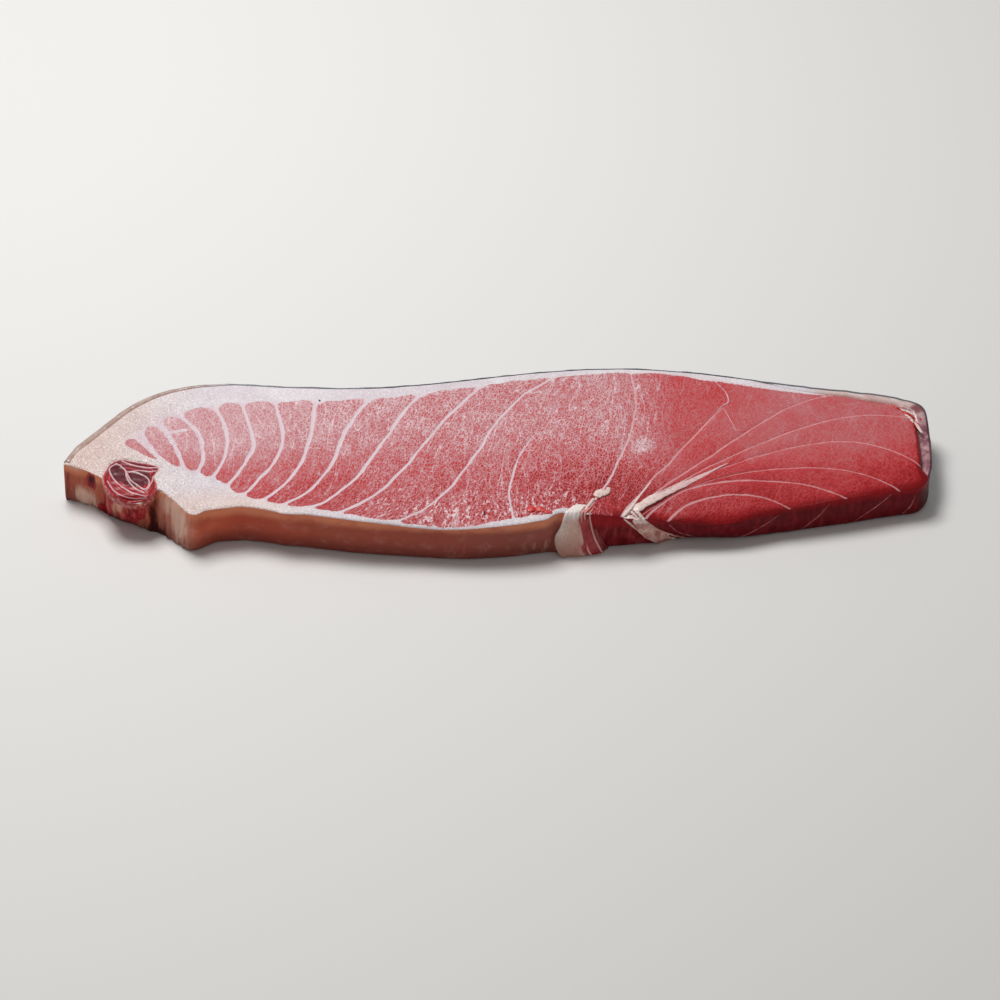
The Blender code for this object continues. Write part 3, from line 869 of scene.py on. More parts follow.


# Colours of the lining from the fin end to its fold, at X in metres. They are darker and warmer
# than the lining itself: painted shade on the front wall, and painted warm light bounced up from below.
LINING_ENDS = (-0.254, 0.05)
SHADED_LINING_COLOURS = [(0.0, (184, 94, 70)), (0.17, (198, 104, 78)), (0.225, (224, 164, 144)),
                  (0.26, (218, 108, 76)), (0.33, (196, 84, 60)), (0.5, (178, 88, 68)),
                  (0.7, (170, 84, 70)), (0.85, (156, 84, 72)), (1.0, (164, 94, 82))]
# Colours of the lean and the dark muscle on the wall, darker than the same flesh on the cut face: painted
# shade.
SHADED_LEAN_COLOURS = [(0.3, (92, 8, 16)), (0.5, (112, 14, 24)), (0.7, (134, 30, 38))]
SHADED_DEEP_RED_COLOURS = [(0.3, (96, 8, 16)), (0.5, (124, 20, 28)), (0.7, (158, 54, 58))]


def wall_material():
    """The cut and lined sides: peach lining on the left, dark lean meat on the right, and at the
    fin end fat, raw muscle and blood in patches. The colours carry painted shade, darkest at the
    foot and in the cleft, and a painted highlight along the lean wall's top edge."""
    material, n, shader = wet_material("meat_wall", 0.14, 0.03, 0.15)
    x, z = n.axes("XZ")
    reds, pales, shade_and_blood = n.axes("XYZ", n.value_of("patches", "Vector"))
    cloud = n.noise(n.place((70, 70, 90)), 3.0, 0.6)
    along = n.math("DIVIDE", n.minus(x, LINING_ENDS[0]), LINING_ENDS[1] - LINING_ENDS[0])
    lining = n.ramp(along, SHADED_LINING_COLOURS)
    band = n.plus(z, n.times(cloud, 0.004))
    # A lighter orange band under the rim, and darker towards the foot: a painted contact shadow.
    lining = n.mix(n.ease(band, 0.02, 0.0255, 0.0, 0.85), lining, (240, 148, 110))
    lining = n.mix(n.ease(band, 0.017, 0.004, 0.0, 0.75), lining, (124, 62, 54))
    mottled = n.noise(n.place((110, 110, 150)), 3.0, 0.55)
    lining = n.mix(n.ease(mottled, 0.5, 0.8, 0.0, 0.22), lining, (222, 168, 156))
    lining = n.mix(n.ease(cloud, 0.5, 0.32, 0.0, 0.3), lining, (168, 66, 56))
    fibre = n.noise(n.place((260, 260, 80)), 3.0, 0.6)
    lean = n.mix(n.ease(x, 0.075, 0.095), n.ramp(fibre, SHADED_DEEP_RED_COLOURS), n.ramp(fibre, SHADED_LEAN_COLOURS))
    # The lean wall turns a lighter red towards its top edge: a painted highlight along the rim.
    lean = n.mix(n.ease(z, 0.0145, 0.0195, 0.0, 0.7), lean, (168, 18, 28))
    colour = n.mix(n.ease(x, 0.036, 0.044), lining, lean)
    fat = n.grouped(FAT, Warmth=1.0)
    streaks = n.noise(n.place((300, 300, 60)), 3.0, 0.6, 0.4)
    blood = n.ramp(streaks, [(0.3, (112, 12, 18)), (0.5, (164, 32, 38)), (0.7, (206, 96, 92))])
    rough_edge = n.swing(streaks, 1.8)
    # The dark patches lay painted shade in the cleft and along the foot, and a dark blood spot.
    for patch, low, high, strength, tint in ((pales, 0.15, 0.95, 0.85, (238, 196, 176)),
                                             (reds, 0.35, 0.65, 1.0, blood),
                                             (shade_and_blood, 0.25, 0.8, 0.9, (66, 16, 18))):
        streaky = n.ease(n.plus(patch, rough_edge), low, high, 0.0, strength)
        colour = n.mix(n.times(streaky, n.ease(patch, 0.02, 0.15)), colour, tint)
    rim = n.ease(z, 0.0247, 0.0262)
    colour = n.mix(n.times(rim, n.ease(x, 0.05, 0.04)), colour, fat["Color"])
    finish_moist(n, shader, colour, 0.32, 0.5, 0.0006, fibre, 0.6)
    return material


meat, TOP, WALL = belly_meat()
meat.data.materials.append(cut_face_material())
meat.data.materials.append(wall_material())
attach(meat, "root")
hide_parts("tuna_belly")

# The skin. A strip of silver belly skin with its own layer of fat, left on along the far side
# and round the lean end, where the cut edge is thick, wet and pinkish.
SKIN_STEPS = 320
SKIN_END = 602
# How far the section's full height lies below the cut face, and how far it sinks at its end.
SKIN_SUNK, SKIN_END_DROP = 0.35, 2.0
# The section, from the foot of the outer face over the cut edge to the foot of the inner face:
# share of the thickness, and share of the height.
SKIN_SECTION = np.array([(0.0, 0.0), (0, 0.12), (0, 0.3), (0, 0.5), (0, 0.7), (0, 0.86), (0, 0.945),
                         (0.03, 0.98), (0.12, 1.0), (0.3, 1.012), (0.5, 1.016), (0.7, 1.01),
                         (0.88, 0.99), (0.97, 0.965), (1.0, 0.93), (1.0, 0.6), (1.0, 0.03)])


def carried(rings):
    """Points and faces of a closed body from rings of places, each turning anticlockwise seen
    from the end of the path, with a flat fan at both ends."""
    count, sides = rings.shape[:2]
    points = np.concatenate([rings.reshape(-1, 3), rings[:1].mean(axis=1), rings[-1:].mean(axis=1)])
    number = np.arange(count * sides).reshape(count, sides)
    after = np.roll(number, -1, axis=1)
    walls = np.stack([number[:-1], after[:-1], after[1:], number[1:]], axis=-1).reshape(-1, 4)
    start = np.stack([np.full(sides, count * sides), after[0], number[0]], axis=1)
    end = np.stack([np.full(sides, count * sides + 1), number[-1], after[-1]], axis=1)
    return points, walls.tolist() + start.tolist() + end.tolist()


def belly_skin():
    """The section carried along the far edge: its outer side on the outline, drawn in towards
    the foot, and its top about level with the cut face."""
    run = np.linspace(0, SKIN_END, SKIN_STEPS)
    line, inward = places_at(run, FAR_RUN, FAR), places_at(run, FAR_RUN, FAR_INWARD)
    thick = np.interp(run, SKIN_RUN, SKIN_THICK)
    thick = thick * (1 + 0.05 * soft_noise(run, run * 0, 9, 30))
    across, level = SKIN_SECTION.T
    top = top_height(line[:, 0], line[:, 1]) - SKIN_SUNK + 0.25 * soft_noise(run, run * 0, 5, 31)
    top = top - SKIN_END_DROP * eased(run, 570, SKIN_END)
    outside = np.sin(np.pi * np.clip(level, 0, 1)) * (across == 0) * (level < 0.9)
    uneven = 0.5 * soft_noise(run[:, None] + 0 * across, level[None, :] * WALL_TALL, 9, 32) - 0.7
    inset = across * thick[:, None] + SKIN_FOOT_INSET * (1 - level) + uneven * outside
    place = line[:, None] + inward[:, None] * inset[..., None]
    rings = np.concatenate([place, (level * top[:, None])[..., None]], axis=2)
    points, faces = carried(rings)

    def with_ends(values):
        """Values of the rings, with those of the two end points."""
        return np.concatenate([values.ravel(), [values[0].mean(), values[-1].mean()]])

    attributes = {"run": with_ends(np.broadcast_to(run[:, None], rings.shape[:2])),
                  "across": with_ends(across * thick[:, None]),
                  "share": with_ends(np.broadcast_to(across, rings.shape[:2])),
                  "level": with_ends(np.broadcast_to(level, rings.shape[:2]))}
    return put_mesh("belly_skin", points, faces, attributes)


def skin_material():
    """Cut edge of skin, beige at the fin end, dark and thin in the middle and wet pinkish white
    at the lean end, with a dark line on its outer corner; fine silver scales on the outer face."""
    material, n, shader = wet_material("wet_skin", 0.5, 0.3, 0.1, 1.42)
    run, across, share, level = (n.value_of(name) for name in ("run", "across", "share", "level"))
    cloud = n.noise(n.place(140), 3.0, 0.6)
    beige = n.ramp(cloud, [(0.3, (172, 142, 132)), (0.7, (200, 176, 168))])
    slate = n.ramp(cloud, [(0.3, (128, 132, 148)), (0.7, (176, 178, 190))])
    pink = n.ramp(cloud, [(0.3, (190, 156, 152)), (0.5, (210, 184, 180)), (0.7, (230, 214, 214))])
    mauve = n.ramp(cloud, [(0.32, (104, 52, 66)), (0.48, (158, 106, 116)), (0.66, (204, 164, 166))])
    edge = n.mix(n.ease(run, 95, 140), beige, slate)
    edge = n.mix(n.ease(run, 438, 458), edge, (226, 220, 226))
    streak = n.plus(share, n.times(cloud, 0.5))
    pink = n.mix(n.ease(streak, 0.8, 1.2), pink, (186, 138, 132))
    mauve = n.mix(n.ease(streak, 1.0, 1.3), mauve, (112, 40, 52))
    edge = n.mix(n.ease(run, 468, 490), edge, pink)
    edge = n.mix(n.ease(run, 532, 560), edge, mauve)
    line_width = n.plus(n.ease(run, 400, 480, 0.8, 2.5), cloud)
    line_width = n.times(line_width, n.ease(run, 538, 552, 1.0, 0.55))
    corner = n.math("LESS_THAN", across, line_width)
    # Dark maroon at the torn corner: torn flesh, with painted shade of the gap between the band and the end
    # strip.
    torn = n.times(n.ease(run, 538, 541), n.ease(run, 550, 546))
    edge = n.mix(n.times(torn, 0.8), edge, (116, 30, 42))
    corner = n.times(corner, n.ease(run, 60, 130, 0.2, 0.9))
    dark = n.mix(n.ease(run, 538, 552), (70, 70, 80), (84, 50, 62))
    edge = n.mix(corner, edge, dark)
    scales = n.cells(n.place((420, 420, 300)), "F1")
    silver = n.ramp(scales, [(0.1, (168, 172, 182)), (0.5, (186, 189, 197)), (0.9, (150, 154, 166))])
    bands = n.noise(n.place((30, 30, 160)), 3.0, 0.55)
    silver = n.mix(n.ease(bands, 0.4, 0.7, 0.0, 0.5), silver, (206, 206, 210))
    silver = n.mix(n.ease(level, 0.45, 0.97), silver, (92, 96, 110))
    blush = n.noise(n.place((24, 24, 40)), 2.0)
    silver = n.mix(n.ease(blush, 0.5, 0.75, 0.0, 0.3), silver, (206, 176, 170))
    on_face = n.times(n.ease(level, 0.985, 0.955), n.ease(share, 0.2, 0.05))
    finish_moist(n, shader, n.mix(on_face, edge, silver), 0.18, 0.4, 0.0005, scales, 0.4, 0.6)
    return material


skin = belly_skin()
skin.data.materials.append(skin_material())
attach(skin, "root")

# The fin muscle. A round bundle of dark muscle that once moved a fin, cut across: two dark
# hearts in white membrane, red flesh in rings round them, and a cream sheath that laps over
# the front of the wall.
FIN_RINGS, FIN_SPOKES = 56, 208
FIN_CROWN, FIN_FRONT_DROOP = 0.5, 3.4
# Width of the skirt as a share of the disc, and how far it goes down; depth of the floor.
FIN_SKIRT, FIN_FLOOR = (0.99, 3.2), 4
# Where the disc droops it also moves back by this share, so that its outline is seen as drawn.
VIEW_SLOPE = 1.19
# White membranes: places along each, and its half width.
WHITE_LINES = [([(-223.3, -15.2), (-220.5, -17.8), (-217.5, -22.5), (-217, -26.8), (-214.3, -33.6),
                 (-210.8, -38.2), (-206.3, -41.2)], 0.34),
               ([(-217.2, -23.3), (-214.2, -22.9), (-210.9, -23.8), (-207.5, -25.9), (-204.4, -29.3),
                 (-203.7, -33.6), (-205.9, -38.2), (-210.4, -34.8), (-214.4, -30.2),
                 (-217.2, -23.3)], 0.3),
               ([(-223.3, -15.2), (-226.9, -19.9), (-225.5, -25.9), (-223.1, -31), (-219, -36.1),
                 (-214.5, -40.3), (-210, -42.9), (-205.1, -44.6)], 0.3),
               ([(-220.2, -12.9), (-215.6, -15.8), (-209, -18.2), (-202.9, -19), (-199.2, -18.6)], 0.28),
               ([(-214.2, -22.5), (-208.8, -21.8), (-203.3, -22.6), (-200.2, -21.8)], 0.25),
               ([(-201.6, -26.8), (-202.6, -33), (-205, -39.5)], 0.22),
               ([(-227.6, -31), (-224, -38.5), (-219, -44), (-212, -46.5), (-205.5, -46.2)], 0.25)]
# Oval hearts: middle, reach both ways and turn.
DARK_HEARTS = [((-221.8, -24), (4.2, 8.5), -0.35), ((-210.8, -29.2), (8.0, 6.8), -0.6)]


def line_distance(x, y, lines):
    """Distance to the nearest of several smooth lines, less that line's half width."""
    return np.min([nearest_on(smooth_line(points, 10), x, y)[1] - half for points, half in lines], axis=0)


def fin_muscle():
    """A disc of rings and spokes out to the outline, a little crowned, drooping over the wall in
    front, raised on its white lines, with a skirt and a floor below the fat."""
    share = np.linspace(0, 1, FIN_RINGS + 1)[1:] ** 0.85
    closed = np.vstack([FIN_EDGE, FIN_EDGE[:1]])
    run = run_along(closed)
    at = np.linspace(0, run[-1], FIN_SPOKES, endpoint=False)
    edge = places_at(at, run, closed)[::-1]
    seen = FIN_MIDDLE + share[:, None, None] * (edge - FIN_MIDDLE)
    x, y = seen[..., 0], seen[..., 1]
    white = line_distance(x, y, WHITE_LINES)
    hearts = []
    for middle, size, turn in DARK_HEARTS:
        off = (x - middle[0]) + 1j * (y - middle[1])
        turned = off * complex(math.cos(turn), math.sin(turn))
        hearts.append(np.hypot(turned.real / size[0], turned.imag / size[1]))
    heart = 1 - np.min(hearts, axis=0)
    droop = FIN_FRONT_DROOP * eased(-y, 42.5, 52)
    z = SLAB_HEIGHT - 0.4 + FIN_CROWN * (1 - share[:, None] ** 2) - droop
    z = z + 0.2 * bump(np.maximum(white, 0), 0.35) + 0.15 * soft_noise(x, y, 2.6, 40)
    z = z - 0.5 * (share[:, None] > 0.985) + 0.7 * bump(share[:, None] - 0.93, 0.05) * eased(-y, 24, 34)
    disc = np.stack([x, y + VIEW_SLOPE * droop, z], axis=2)
    skirt = disc[-1:] + 0
    skirt[..., :2] = FIN_MIDDLE + FIN_SKIRT[0] * (skirt[..., :2] - FIN_MIDDLE)
    skirt[..., 2] -= FIN_SKIRT[1]
    rings = np.concatenate([disc, skirt])
    count = rings[..., 0].size
    number = np.arange(count).reshape(rings.shape[:2])
    middles = [[*FIN_MIDDLE, SLAB_HEIGHT + FIN_CROWN], [*FIN_MIDDLE, SLAB_HEIGHT - FIN_FLOOR]]
    points = np.vstack([rings.reshape(-1, 3), middles])
    after = np.roll(number, -1, axis=1)
    faces = np.stack([number[:-1], number[1:], after[1:], after[:-1]], axis=-1).reshape(-1, 4).tolist()
    faces += [[count, a, b] for a, b in zip(number[0], after[0])]
    faces += [[count + 1, b, a] for a, b in zip(number[-1], after[-1])]

    def filled(values, last):
        """Values of the disc, its skirt and the two middle points."""
        return np.concatenate([values.ravel(), values[-1], [values[0].mean(), last]])

    attributes = {"white": filled(white, 3.0), "heart": filled(heart, 0.0),
                  "outness": filled(np.broadcast_to(share[:, None], white.shape), 1.0)}
    return put_mesh("fin_muscle", points, faces, attributes)


def fin_material():
    """Dark maroon hearts, red flesh in fine rings round them, white membranes and a cream rim."""
    material, n, shader = wet_material("fin_flesh", 0.35, 0.1, 0.1)
    white, heart, outness = (n.value_of(name) for name in ("white", "heart", "outness"))
    blotch = n.noise(n.place(420), 3.0, 0.6)
    dark = n.ramp(blotch, [(0.3, (66, 6, 16)), (0.55, (94, 16, 28)), (0.75, (126, 50, 62))])
    rings = n.math("SINE", n.times(n.plus(outness, n.times(blotch, 0.08)), 34.0))
    red = n.mix(n.ease(rings, -0.2, 1.0), (134, 14, 26), (186, 48, 56))
    y = n.axes("Y")[0]
    ringed = n.mix(n.ease(rings, 0.1, 0.8), (104, 14, 26), (168, 80, 90))
    red = n.mix(n.ease(y, -0.03, -0.018), red, ringed)
    flesh = n.mix(n.ease(heart, -0.15, 0.12), red, dark)
    membrane = n.mix(blotch, (196, 146, 152), (230, 200, 204))
    colour = n.mix(n.ease(white, 0.35, -0.05), flesh, membrane)
    fat = n.grouped(FAT, Warmth=0.8)
    front = n.ease(y, -0.02, -0.045)
    bloody = n.mix(n.ease(blotch, 0.45, 0.7), (168, 30, 34), (222, 150, 142))
    sheath = n.mix(n.times(front, 0.92), fat["Color"], bloody)
    ragged = n.plus(outness, n.swing(blotch, 0.12))
    colour = n.mix(n.ease(ragged, 0.935, 0.97), colour, sheath)
    finish_moist(n, shader, colour, 0.22, 0.5, 0.0004, blotch, 0.5)
    return material


fin = fin_muscle()
fin.data.materials.append(fin_material())
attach(fin, "root")

# The lining's fold. Where the belly lining was trimmed it turns out over the wall in a thick
# cream flap with a sharp left edge, torn into red and white strands on its right.
# Rails down the flap, from the one on its left: each from the cut face to the foot.
FOLD_RAILS = [[(37, -53, 26.1), (34, -57.6, 25.9), (32.6, -60, 18), (31, -60.5, 11), (31.8, -62.4, 4),
               (33.8, -64, 0.2)],
              [(37.5, -53, 26.4), (32.9, -58.9, 26.1), (30.2, -62.3, 18.5), (27.0, -64.2, 12),
               (29, -66.8, 3.5), (32.6, -68, 0.2)],
              [(41, -53, 26.6), (37.6, -59, 26.4), (36.4, -63.6, 18.5), (34, -66.4, 11),
               (34.6, -67.4, 3.5), (37, -67.2, 0.2)],
              [(45.5, -54, 26.5), (41.6, -58.8, 26.2), (41.6, -62.6, 19), (42.6, -65, 11),
               (44, -66.2, 3.5), (45.8, -66.2, 0.2)],
              [(48.5, -54.6, 26.2), (46.4, -58.8, 25.8), (47.2, -61.6, 18), (49.4, -64.6, 10),
               (51.6, -65.8, 3), (53, -65, 0.2)],
              [(50.5, -54, 25.2), (49.5, -57.6, 24.6), (51.5, -58.6, 17), (54.2, -60.6, 10),
               (57, -61, 3), (58, -60, 0.2)]]
FOLD_STEPS = 14
# The back is pushed this far into the wall, and front and back keep this far above the floor.
FOLD_BACK, FOLD_FEET = (2.5, 5.0, -1.2), (0.1, 0.05)


def lofted(rails, steps):
    """A grid through rails of places: a smooth curve along each rail, then one across them."""
    along = np.array([smooth_line(rail, steps) for rail in rails])
    knots = run_along(along.mean(axis=1))
    places = smooth_line(np.column_stack([knots, along.reshape(len(rails), -1)]), steps)[:, 1:]
    return places.reshape(-1, along.shape[1], 3)


def thick_sheet(front, back):
    """Points and faces of a closed sheet between two grids, the front one facing outwards."""
    count = front[..., 0].size
    number = np.arange(count).reshape(front.shape[:2])
    faces = [sheet_quads(number), sheet_quads(number)[:, ::-1] + count,
             quads_between(ring_of(number), ring_of(number) + count)]
    return np.concatenate([front.reshape(-1, 3), back.reshape(-1, 3)]), np.concatenate(faces).tolist()


def lining_fold():
    """The flap as a lofted sheet, from the foot up, with fine tears, closed by the same sheet
    pushed back into the wall."""
    grid = lofted(FOLD_RAILS, FOLD_STEPS)[:, ::-1]
    share = np.linspace(0, 1, grid.shape[0])[:, None] * np.ones(grid.shape[1])
    height = grid[..., 2]
    torn = eased(share, 0.5, 0.9)
    strands = soft_noise(share * 60 + 0.08 * height, height * 0.12, 1.7, 50)
    front = grid + 0
    front[..., 1] -= (0.25 + 0.75 * torn) * strands
    front[..., 1] += 0.3 * soft_noise(grid[..., 0], height, 3.2, 51)
    back = grid + np.array(FOLD_BACK)
    for sheet, foot in zip((front, back), FOLD_FEET):
        sheet[..., 2] = np.maximum(sheet[..., 2], foot)
    points, faces = thick_sheet(front, back)
    attributes = {"share": np.tile(share.ravel(), 2), "strands": np.tile(strands.ravel(), 2)}
    return put_mesh("lining_fold", points, faces, attributes)


def fold_material():
    """Cream lining, whiter on its left edge and near its top, partly the white rim it joins and partly
    painted light, browner towards its foot as painted shade, running into red tears and pink strands.
    """
    material, n, shader = wet_material("lining", 0.45, 0.2, 0.12)
    share, strands = n.value_of("share"), n.value_of("strands")
    fat = n.grouped(FAT, Warmth=n.ease(share, 0.05, 0.35, 0.6, 1.0))
    blotch = n.noise(n.place((300, 300, 120)), 3.0, 0.6)
    height = n.axes("Z")[0]
    cream = n.mix(n.ease(share, 0.22, 0.45, 0.0, 0.5), fat["Color"], (226, 168, 146))
    # Painted light and shade by height: whiter near the top, browner towards the foot.
    cream = n.mix(n.ease(height, 0.021, 0.0255), cream, (240, 228, 224))
    cream = n.mix(n.ease(height, 0.019, 0.003, 0.0, 0.85), cream, (180, 120, 104))
    red = n.ramp(blotch, [(0.3, (148, 24, 34)), (0.6, (184, 60, 62)), (0.8, (206, 110, 106))])
    torn = n.plus(share, n.swing(blotch, 0.35))
    colour = n.mix(n.ease(torn, 0.52, 0.62), cream, red)
    pink = n.times(n.ease(strands, 0.0, 0.5), n.ease(share, 0.5, 0.62))
    colour = n.mix(n.times(pink, n.ease(share, 0.98, 0.86)), colour, (230, 180, 172))
    colour = n.mix(n.ease(torn, 0.86, 0.98), colour, (120, 14, 24))
    finish_moist(n, shader, colour, 0.2, 0.42, 0.0006, blotch, 0.5)
    return material


fold = lining_fold()
fold.data.materials.append(fold_material())
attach(fold, "root")

# The tendon and the sinew sheets' edges. The fan of sinews runs together into one white tendon
# on the cut face; from its tip a wide band of sinew goes down the wall, and the edges of the
# other sheets show on the wall and on the face as fine raised lines.
TENDON = ([(72.5, -54.5), (76, -50.5), (84, -43.5), (96, -36), (109, -28), (120, -20.5), (130, -14)],
          (2.0, 3.2, 3.1, 2.4, 1.7, 1.0, 0.3), (0.7, 0.9, 0.8, 0.5, 0.3, 0.2, 0.1))
# Thinner strands of the tendon on the face: its other arm, its foot at the front edge, the web
# between the two, and the loose edge along its upper side.
TENDON_STRANDS = [([(65.5, -59.3), (70, -53), (75.5, -43.5), (84, -30)],
                   (1.2, 1.2, 0.6, 0.25), (0.6, 0.5, 0.25, 0.1)),
                  ([(73.5, -53.5), (75, -56), (78.5, -59.2)], (1.5, 1.2, 0.9), (0.8, 0.7, 0.4)),
                  ([(70.5, -55), (72.5, -57), (75.5, -59.4)], (0.9, 0.9, 0.7), (0.6, 0.5, 0.3)),
                  ([(66, -59.4), (70, -58.2), (75, -59)], (0.9, 1.9, 1.4), (0.2, 0.3, 0.2)),
                  ([(77, -47), (86, -40), (97, -33), (109, -25)],
                   (0.3, 0.5, 0.5, 0.2), (0.3, 0.4, 0.3, 0.1))]
# On the wall: X and share of the height.
SEPTUM_BAND = ([(72, 0.97), (75.5, 0.8), (79.5, 0.6), (84.5, 0.4), (90.5, 0.2), (96, 0.02)],
               (4.2, 4.2, 4.2, 4.4, 4.8, 5.4), (0.3, 0.45, 0.5, 0.5, 0.5, 0.5))
SEPTUM_RIDGES = [([(66, 0.98), (70.5, 0.8), (75, 0.6), (80, 0.38), (85.5, 0.18), (90.5, 0.03)],
                  (0.6, 0.7, 0.8, 0.8, 0.8), (0.5, 0.7, 0.8, 0.8, 0.6)),
                 ([(74, 0.99), (78, 0.82), (83, 0.6), (88.5, 0.4), (93.5, 0.2), (98, 0.03)],
                  (0.8, 1.0, 0.9, 0.9, 0.8), (0.6, 0.9, 0.8, 0.8, 0.6)),
                 ([(78.5, 0.97), (82, 0.82), (87.5, 0.62), (93.5, 0.42), (99, 0.24), (103.5, 0.05)],
                  (0.5, 0.6, 0.6, 0.5), (0.4, 0.5, 0.5, 0.4))]
WALL_SINEWS = [[(92, 0.9), (100, 0.5), (110, 0.08)], [(157, 0.97), (148, 0.6), (134, 0.06)],
               [(187, 0.97), (181, 0.6), (171, 0.06)], [(224, 0.97), (214, 0.55), (202, 0.06)],
               [(238, 0.8), (236, 0.45), (231, 0.08)]]
# Places along each, and its half width.
FACE_VEINS = [([(127, 33), (131, 38.5), (134.5, 41.6), (134, 51), (127.5, 63.6)], 0.38),
              ([(131, 37), (134, 26), (137, 14)], 0.22)]
# The face is searched this far beyond a strand, and strands keep this far above the floor.
FACE_MARGIN, FLOOR_GAP = 4, 0.05


def on_face(x, y):
    """Height of the meat's top at places in the plan, from the nearest place of its grid."""
    flat = TOP.reshape(-1, 3)
    near = (flat[:, 0] > np.min(x) - FACE_MARGIN) & (flat[:, 0] < np.max(x) + FACE_MARGIN)
    return flat[near][nearest_on(flat[near], x, y)[0], 2]


def on_wall(x, level, out=0.0):
    """Places on the front wall by X and share of the height, read from the wall's own rings."""
    levels = np.concatenate([[1.0], WALL_LEVELS])
    y, z = [], []
    for ring in WALL:
        order = np.argsort(ring[:, 0])
        y.append(np.interp(x, ring[order, 0], ring[order, 1]))
        z.append(np.interp(x, ring[order, 0], ring[order, 2]))
    y, z = np.array(y)[::-1], np.array(z)[::-1]
    pick = np.arange(len(x))
    upper = np.clip(np.searchsorted(levels[::-1], level), 1, len(levels) - 1)
    low, high = levels[::-1][upper - 1], levels[::-1][upper]
    part = (level - low) / (high - low)
    place = [values[upper - 1, pick] * (1 - part) + values[upper, pick] * part for values in (y, z)]
    return np.stack([x, place[0] - out, place[1]], axis=1)


def strand(path, half_width, half_height, up=(0, 0, 1), sides=8):
    """Points and faces of a strand: an ellipse of the given half width and half height carried
    along the path, its short axis towards up."""
    p = np.asarray(path, float)
    along = np.gradient(p, axis=0)
    side = unit(np.cross(np.broadcast_to(up, p.shape), along))
    normal = unit(np.cross(along, side))
    turn = np.linspace(0, 2 * np.pi, sides, endpoint=False)
    wide = np.asarray(half_width)[:, None, None] * np.cos(turn)[None, :, None] * side[:, None]
    tall = np.asarray(half_height)[:, None, None] * np.sin(turn)[None, :, None] * normal[:, None]
    return carried(p[:, None] + wide + tall)


def joined(shapes):
    """Points and faces of several shapes as one."""
    points, faces, count = [], [], 0
    for part_points, part_faces in shapes:
        points.append(part_points)
        faces += [[number + count for number in face] for face in part_faces]
        count += len(part_points)
    return np.concatenate(points), faces


def spread_along(values, count):
    """Values given along a strand, read at evenly spaced places of it, rounded off at the ends."""
    t = np.linspace(0, 1, count)
    ends = np.sqrt(np.clip(1 - (2 * t - 1) ** 12, 0.0, 1)) + 0.02
    return np.interp(t, np.linspace(0, 1, len(values)), values) * ends


def strand_line(points, half_widths, half_heights, rough, seed, stretch=1):
    """Line of a strand through its points, with the half width and half height at each place of
    it. The width is roughened by a share, with the line's second coordinate stretched."""
    line = smooth_line(points, 10)
    wide, tall = (spread_along(values, len(line)) for values in (half_widths, half_heights))
    return line, wide * (1 + rough * soft_noise(line[:, 0], line[:, 1] * stretch, 3, seed)), tall


def face_strand(points, half_widths, half_heights, sunk=0.3, sides=8):
    """A strand that follows the cut face, with the given share of its height below it."""
    line, wide, tall = strand_line(points, half_widths, half_heights, 0.18, 60)
    z = on_face(line[:, 0], line[:, 1]) + tall * (1 - 2 * sunk)
    return strand(np.column_stack([line, z]), wide, tall, sides=sides)


def wall_strand(points, half_widths, half_heights, out=0.0, sides=8):
    """A strand that follows the front wall, its middle the given distance out of it."""
    line, wide, tall = strand_line(points, half_widths, half_heights, 0.15, 61, WALL_TALL)
    points, faces = strand(on_wall(line[:, 0], line[:, 1], out), wide, tall, up=(0, -1, 0), sides=sides)
    points[:, 2] = np.maximum(points[:, 2], FLOOR_GAP)
    return points, faces


def tendon_material():
    """Tough white sinew, cream to pink, with fine fibres; darker pinkish brown down the wall as painted
    shade.
    """
    material, n, shader = wet_material("sinew", 0.5, 0.25, 0.1)
    fibre = n.noise(n.place((500, 900, 300)), 3.0, 0.6)
    x, z = n.axes("XZ")
    cream = n.ramp(fibre, [(0.3, (224, 190, 184)), (0.6, (244, 224, 218)), (0.8, (250, 242, 238))])
    pink = n.ramp(fibre, [(0.3, (210, 160, 162)), (0.7, (236, 206, 206))])
    fan = n.times(n.ease(x, 0.075, 0.11), n.ease(z, 0.018, 0.022))
    # The band down the wall is a darker pinkish brown: painted shade.
    band = n.noise(n.place((260, 260, 200)), 3.0, 0.6)
    band = n.ramp(band, [(0.32, (168, 90, 84)), (0.52, (214, 158, 146)), (0.72, (242, 212, 202))])
    colour = n.mix(n.ease(z, 0.0195, 0.0165), n.mix(fan, cream, pink), band)
    finish_moist(n, shader, colour, 0.14, 0.36, 0.0005, fibre, 0.6)
    return material


def thin_sinew_material():
    """Thin edge of a sinew sheet: pale pink, half sunk in the flesh, and darker red on the walls as painted
    shade.
    """
    material, n, shader = wet_material("thin_sinew", 0.4, 0.1, 0.2)
    tone = n.noise(n.place(320), 2.0, 0.6)
    above = n.ramp(tone, [(0.35, (212, 158, 162)), (0.65, (230, 194, 198))])
    # On the walls the edges are darker red: painted shade, like the walls themselves.
    shaded_on_wall = n.ramp(tone, [(0.35, (140, 50, 58)), (0.65, (196, 110, 114))])
    z = n.axes("Z")[0]
    finish_moist(n, shader, n.mix(n.ease(z, 0.0225, 0.019), above, shaded_on_wall), 0.3, 0.5, 0.0003)
    return material


tendon_shapes = [face_strand(*TENDON, sunk=0.34, sides=16), wall_strand(*SEPTUM_BAND, out=0.0, sides=14)]
tendon_shapes += [face_strand(*part, sunk=0.25, sides=12) for part in TENDON_STRANDS]
tendon_shapes += [wall_strand(*ridge, out=0.2) for ridge in SEPTUM_RIDGES]
tendon = put_mesh("tendon", *joined(tendon_shapes))
tendon.data.materials.append(tendon_material())
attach(tendon, "root")

thin_shapes = [wall_strand(points, (0.35, 0.45, 0.35), (0.3, 0.35, 0.3), out=-0.05)
               for points in WALL_SINEWS]
thin_shapes += [face_strand(points, (0.3 * half, half, half, 0.4 * half), (0.1, 0.18, 0.18, 0.1), sunk=0.1)
                for points, half in FACE_VEINS]
thin_sinews = put_mesh("thin_sinews", *joined(thin_shapes))
thin_sinews.data.materials.append(thin_sinew_material())
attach(thin_sinews, "root")

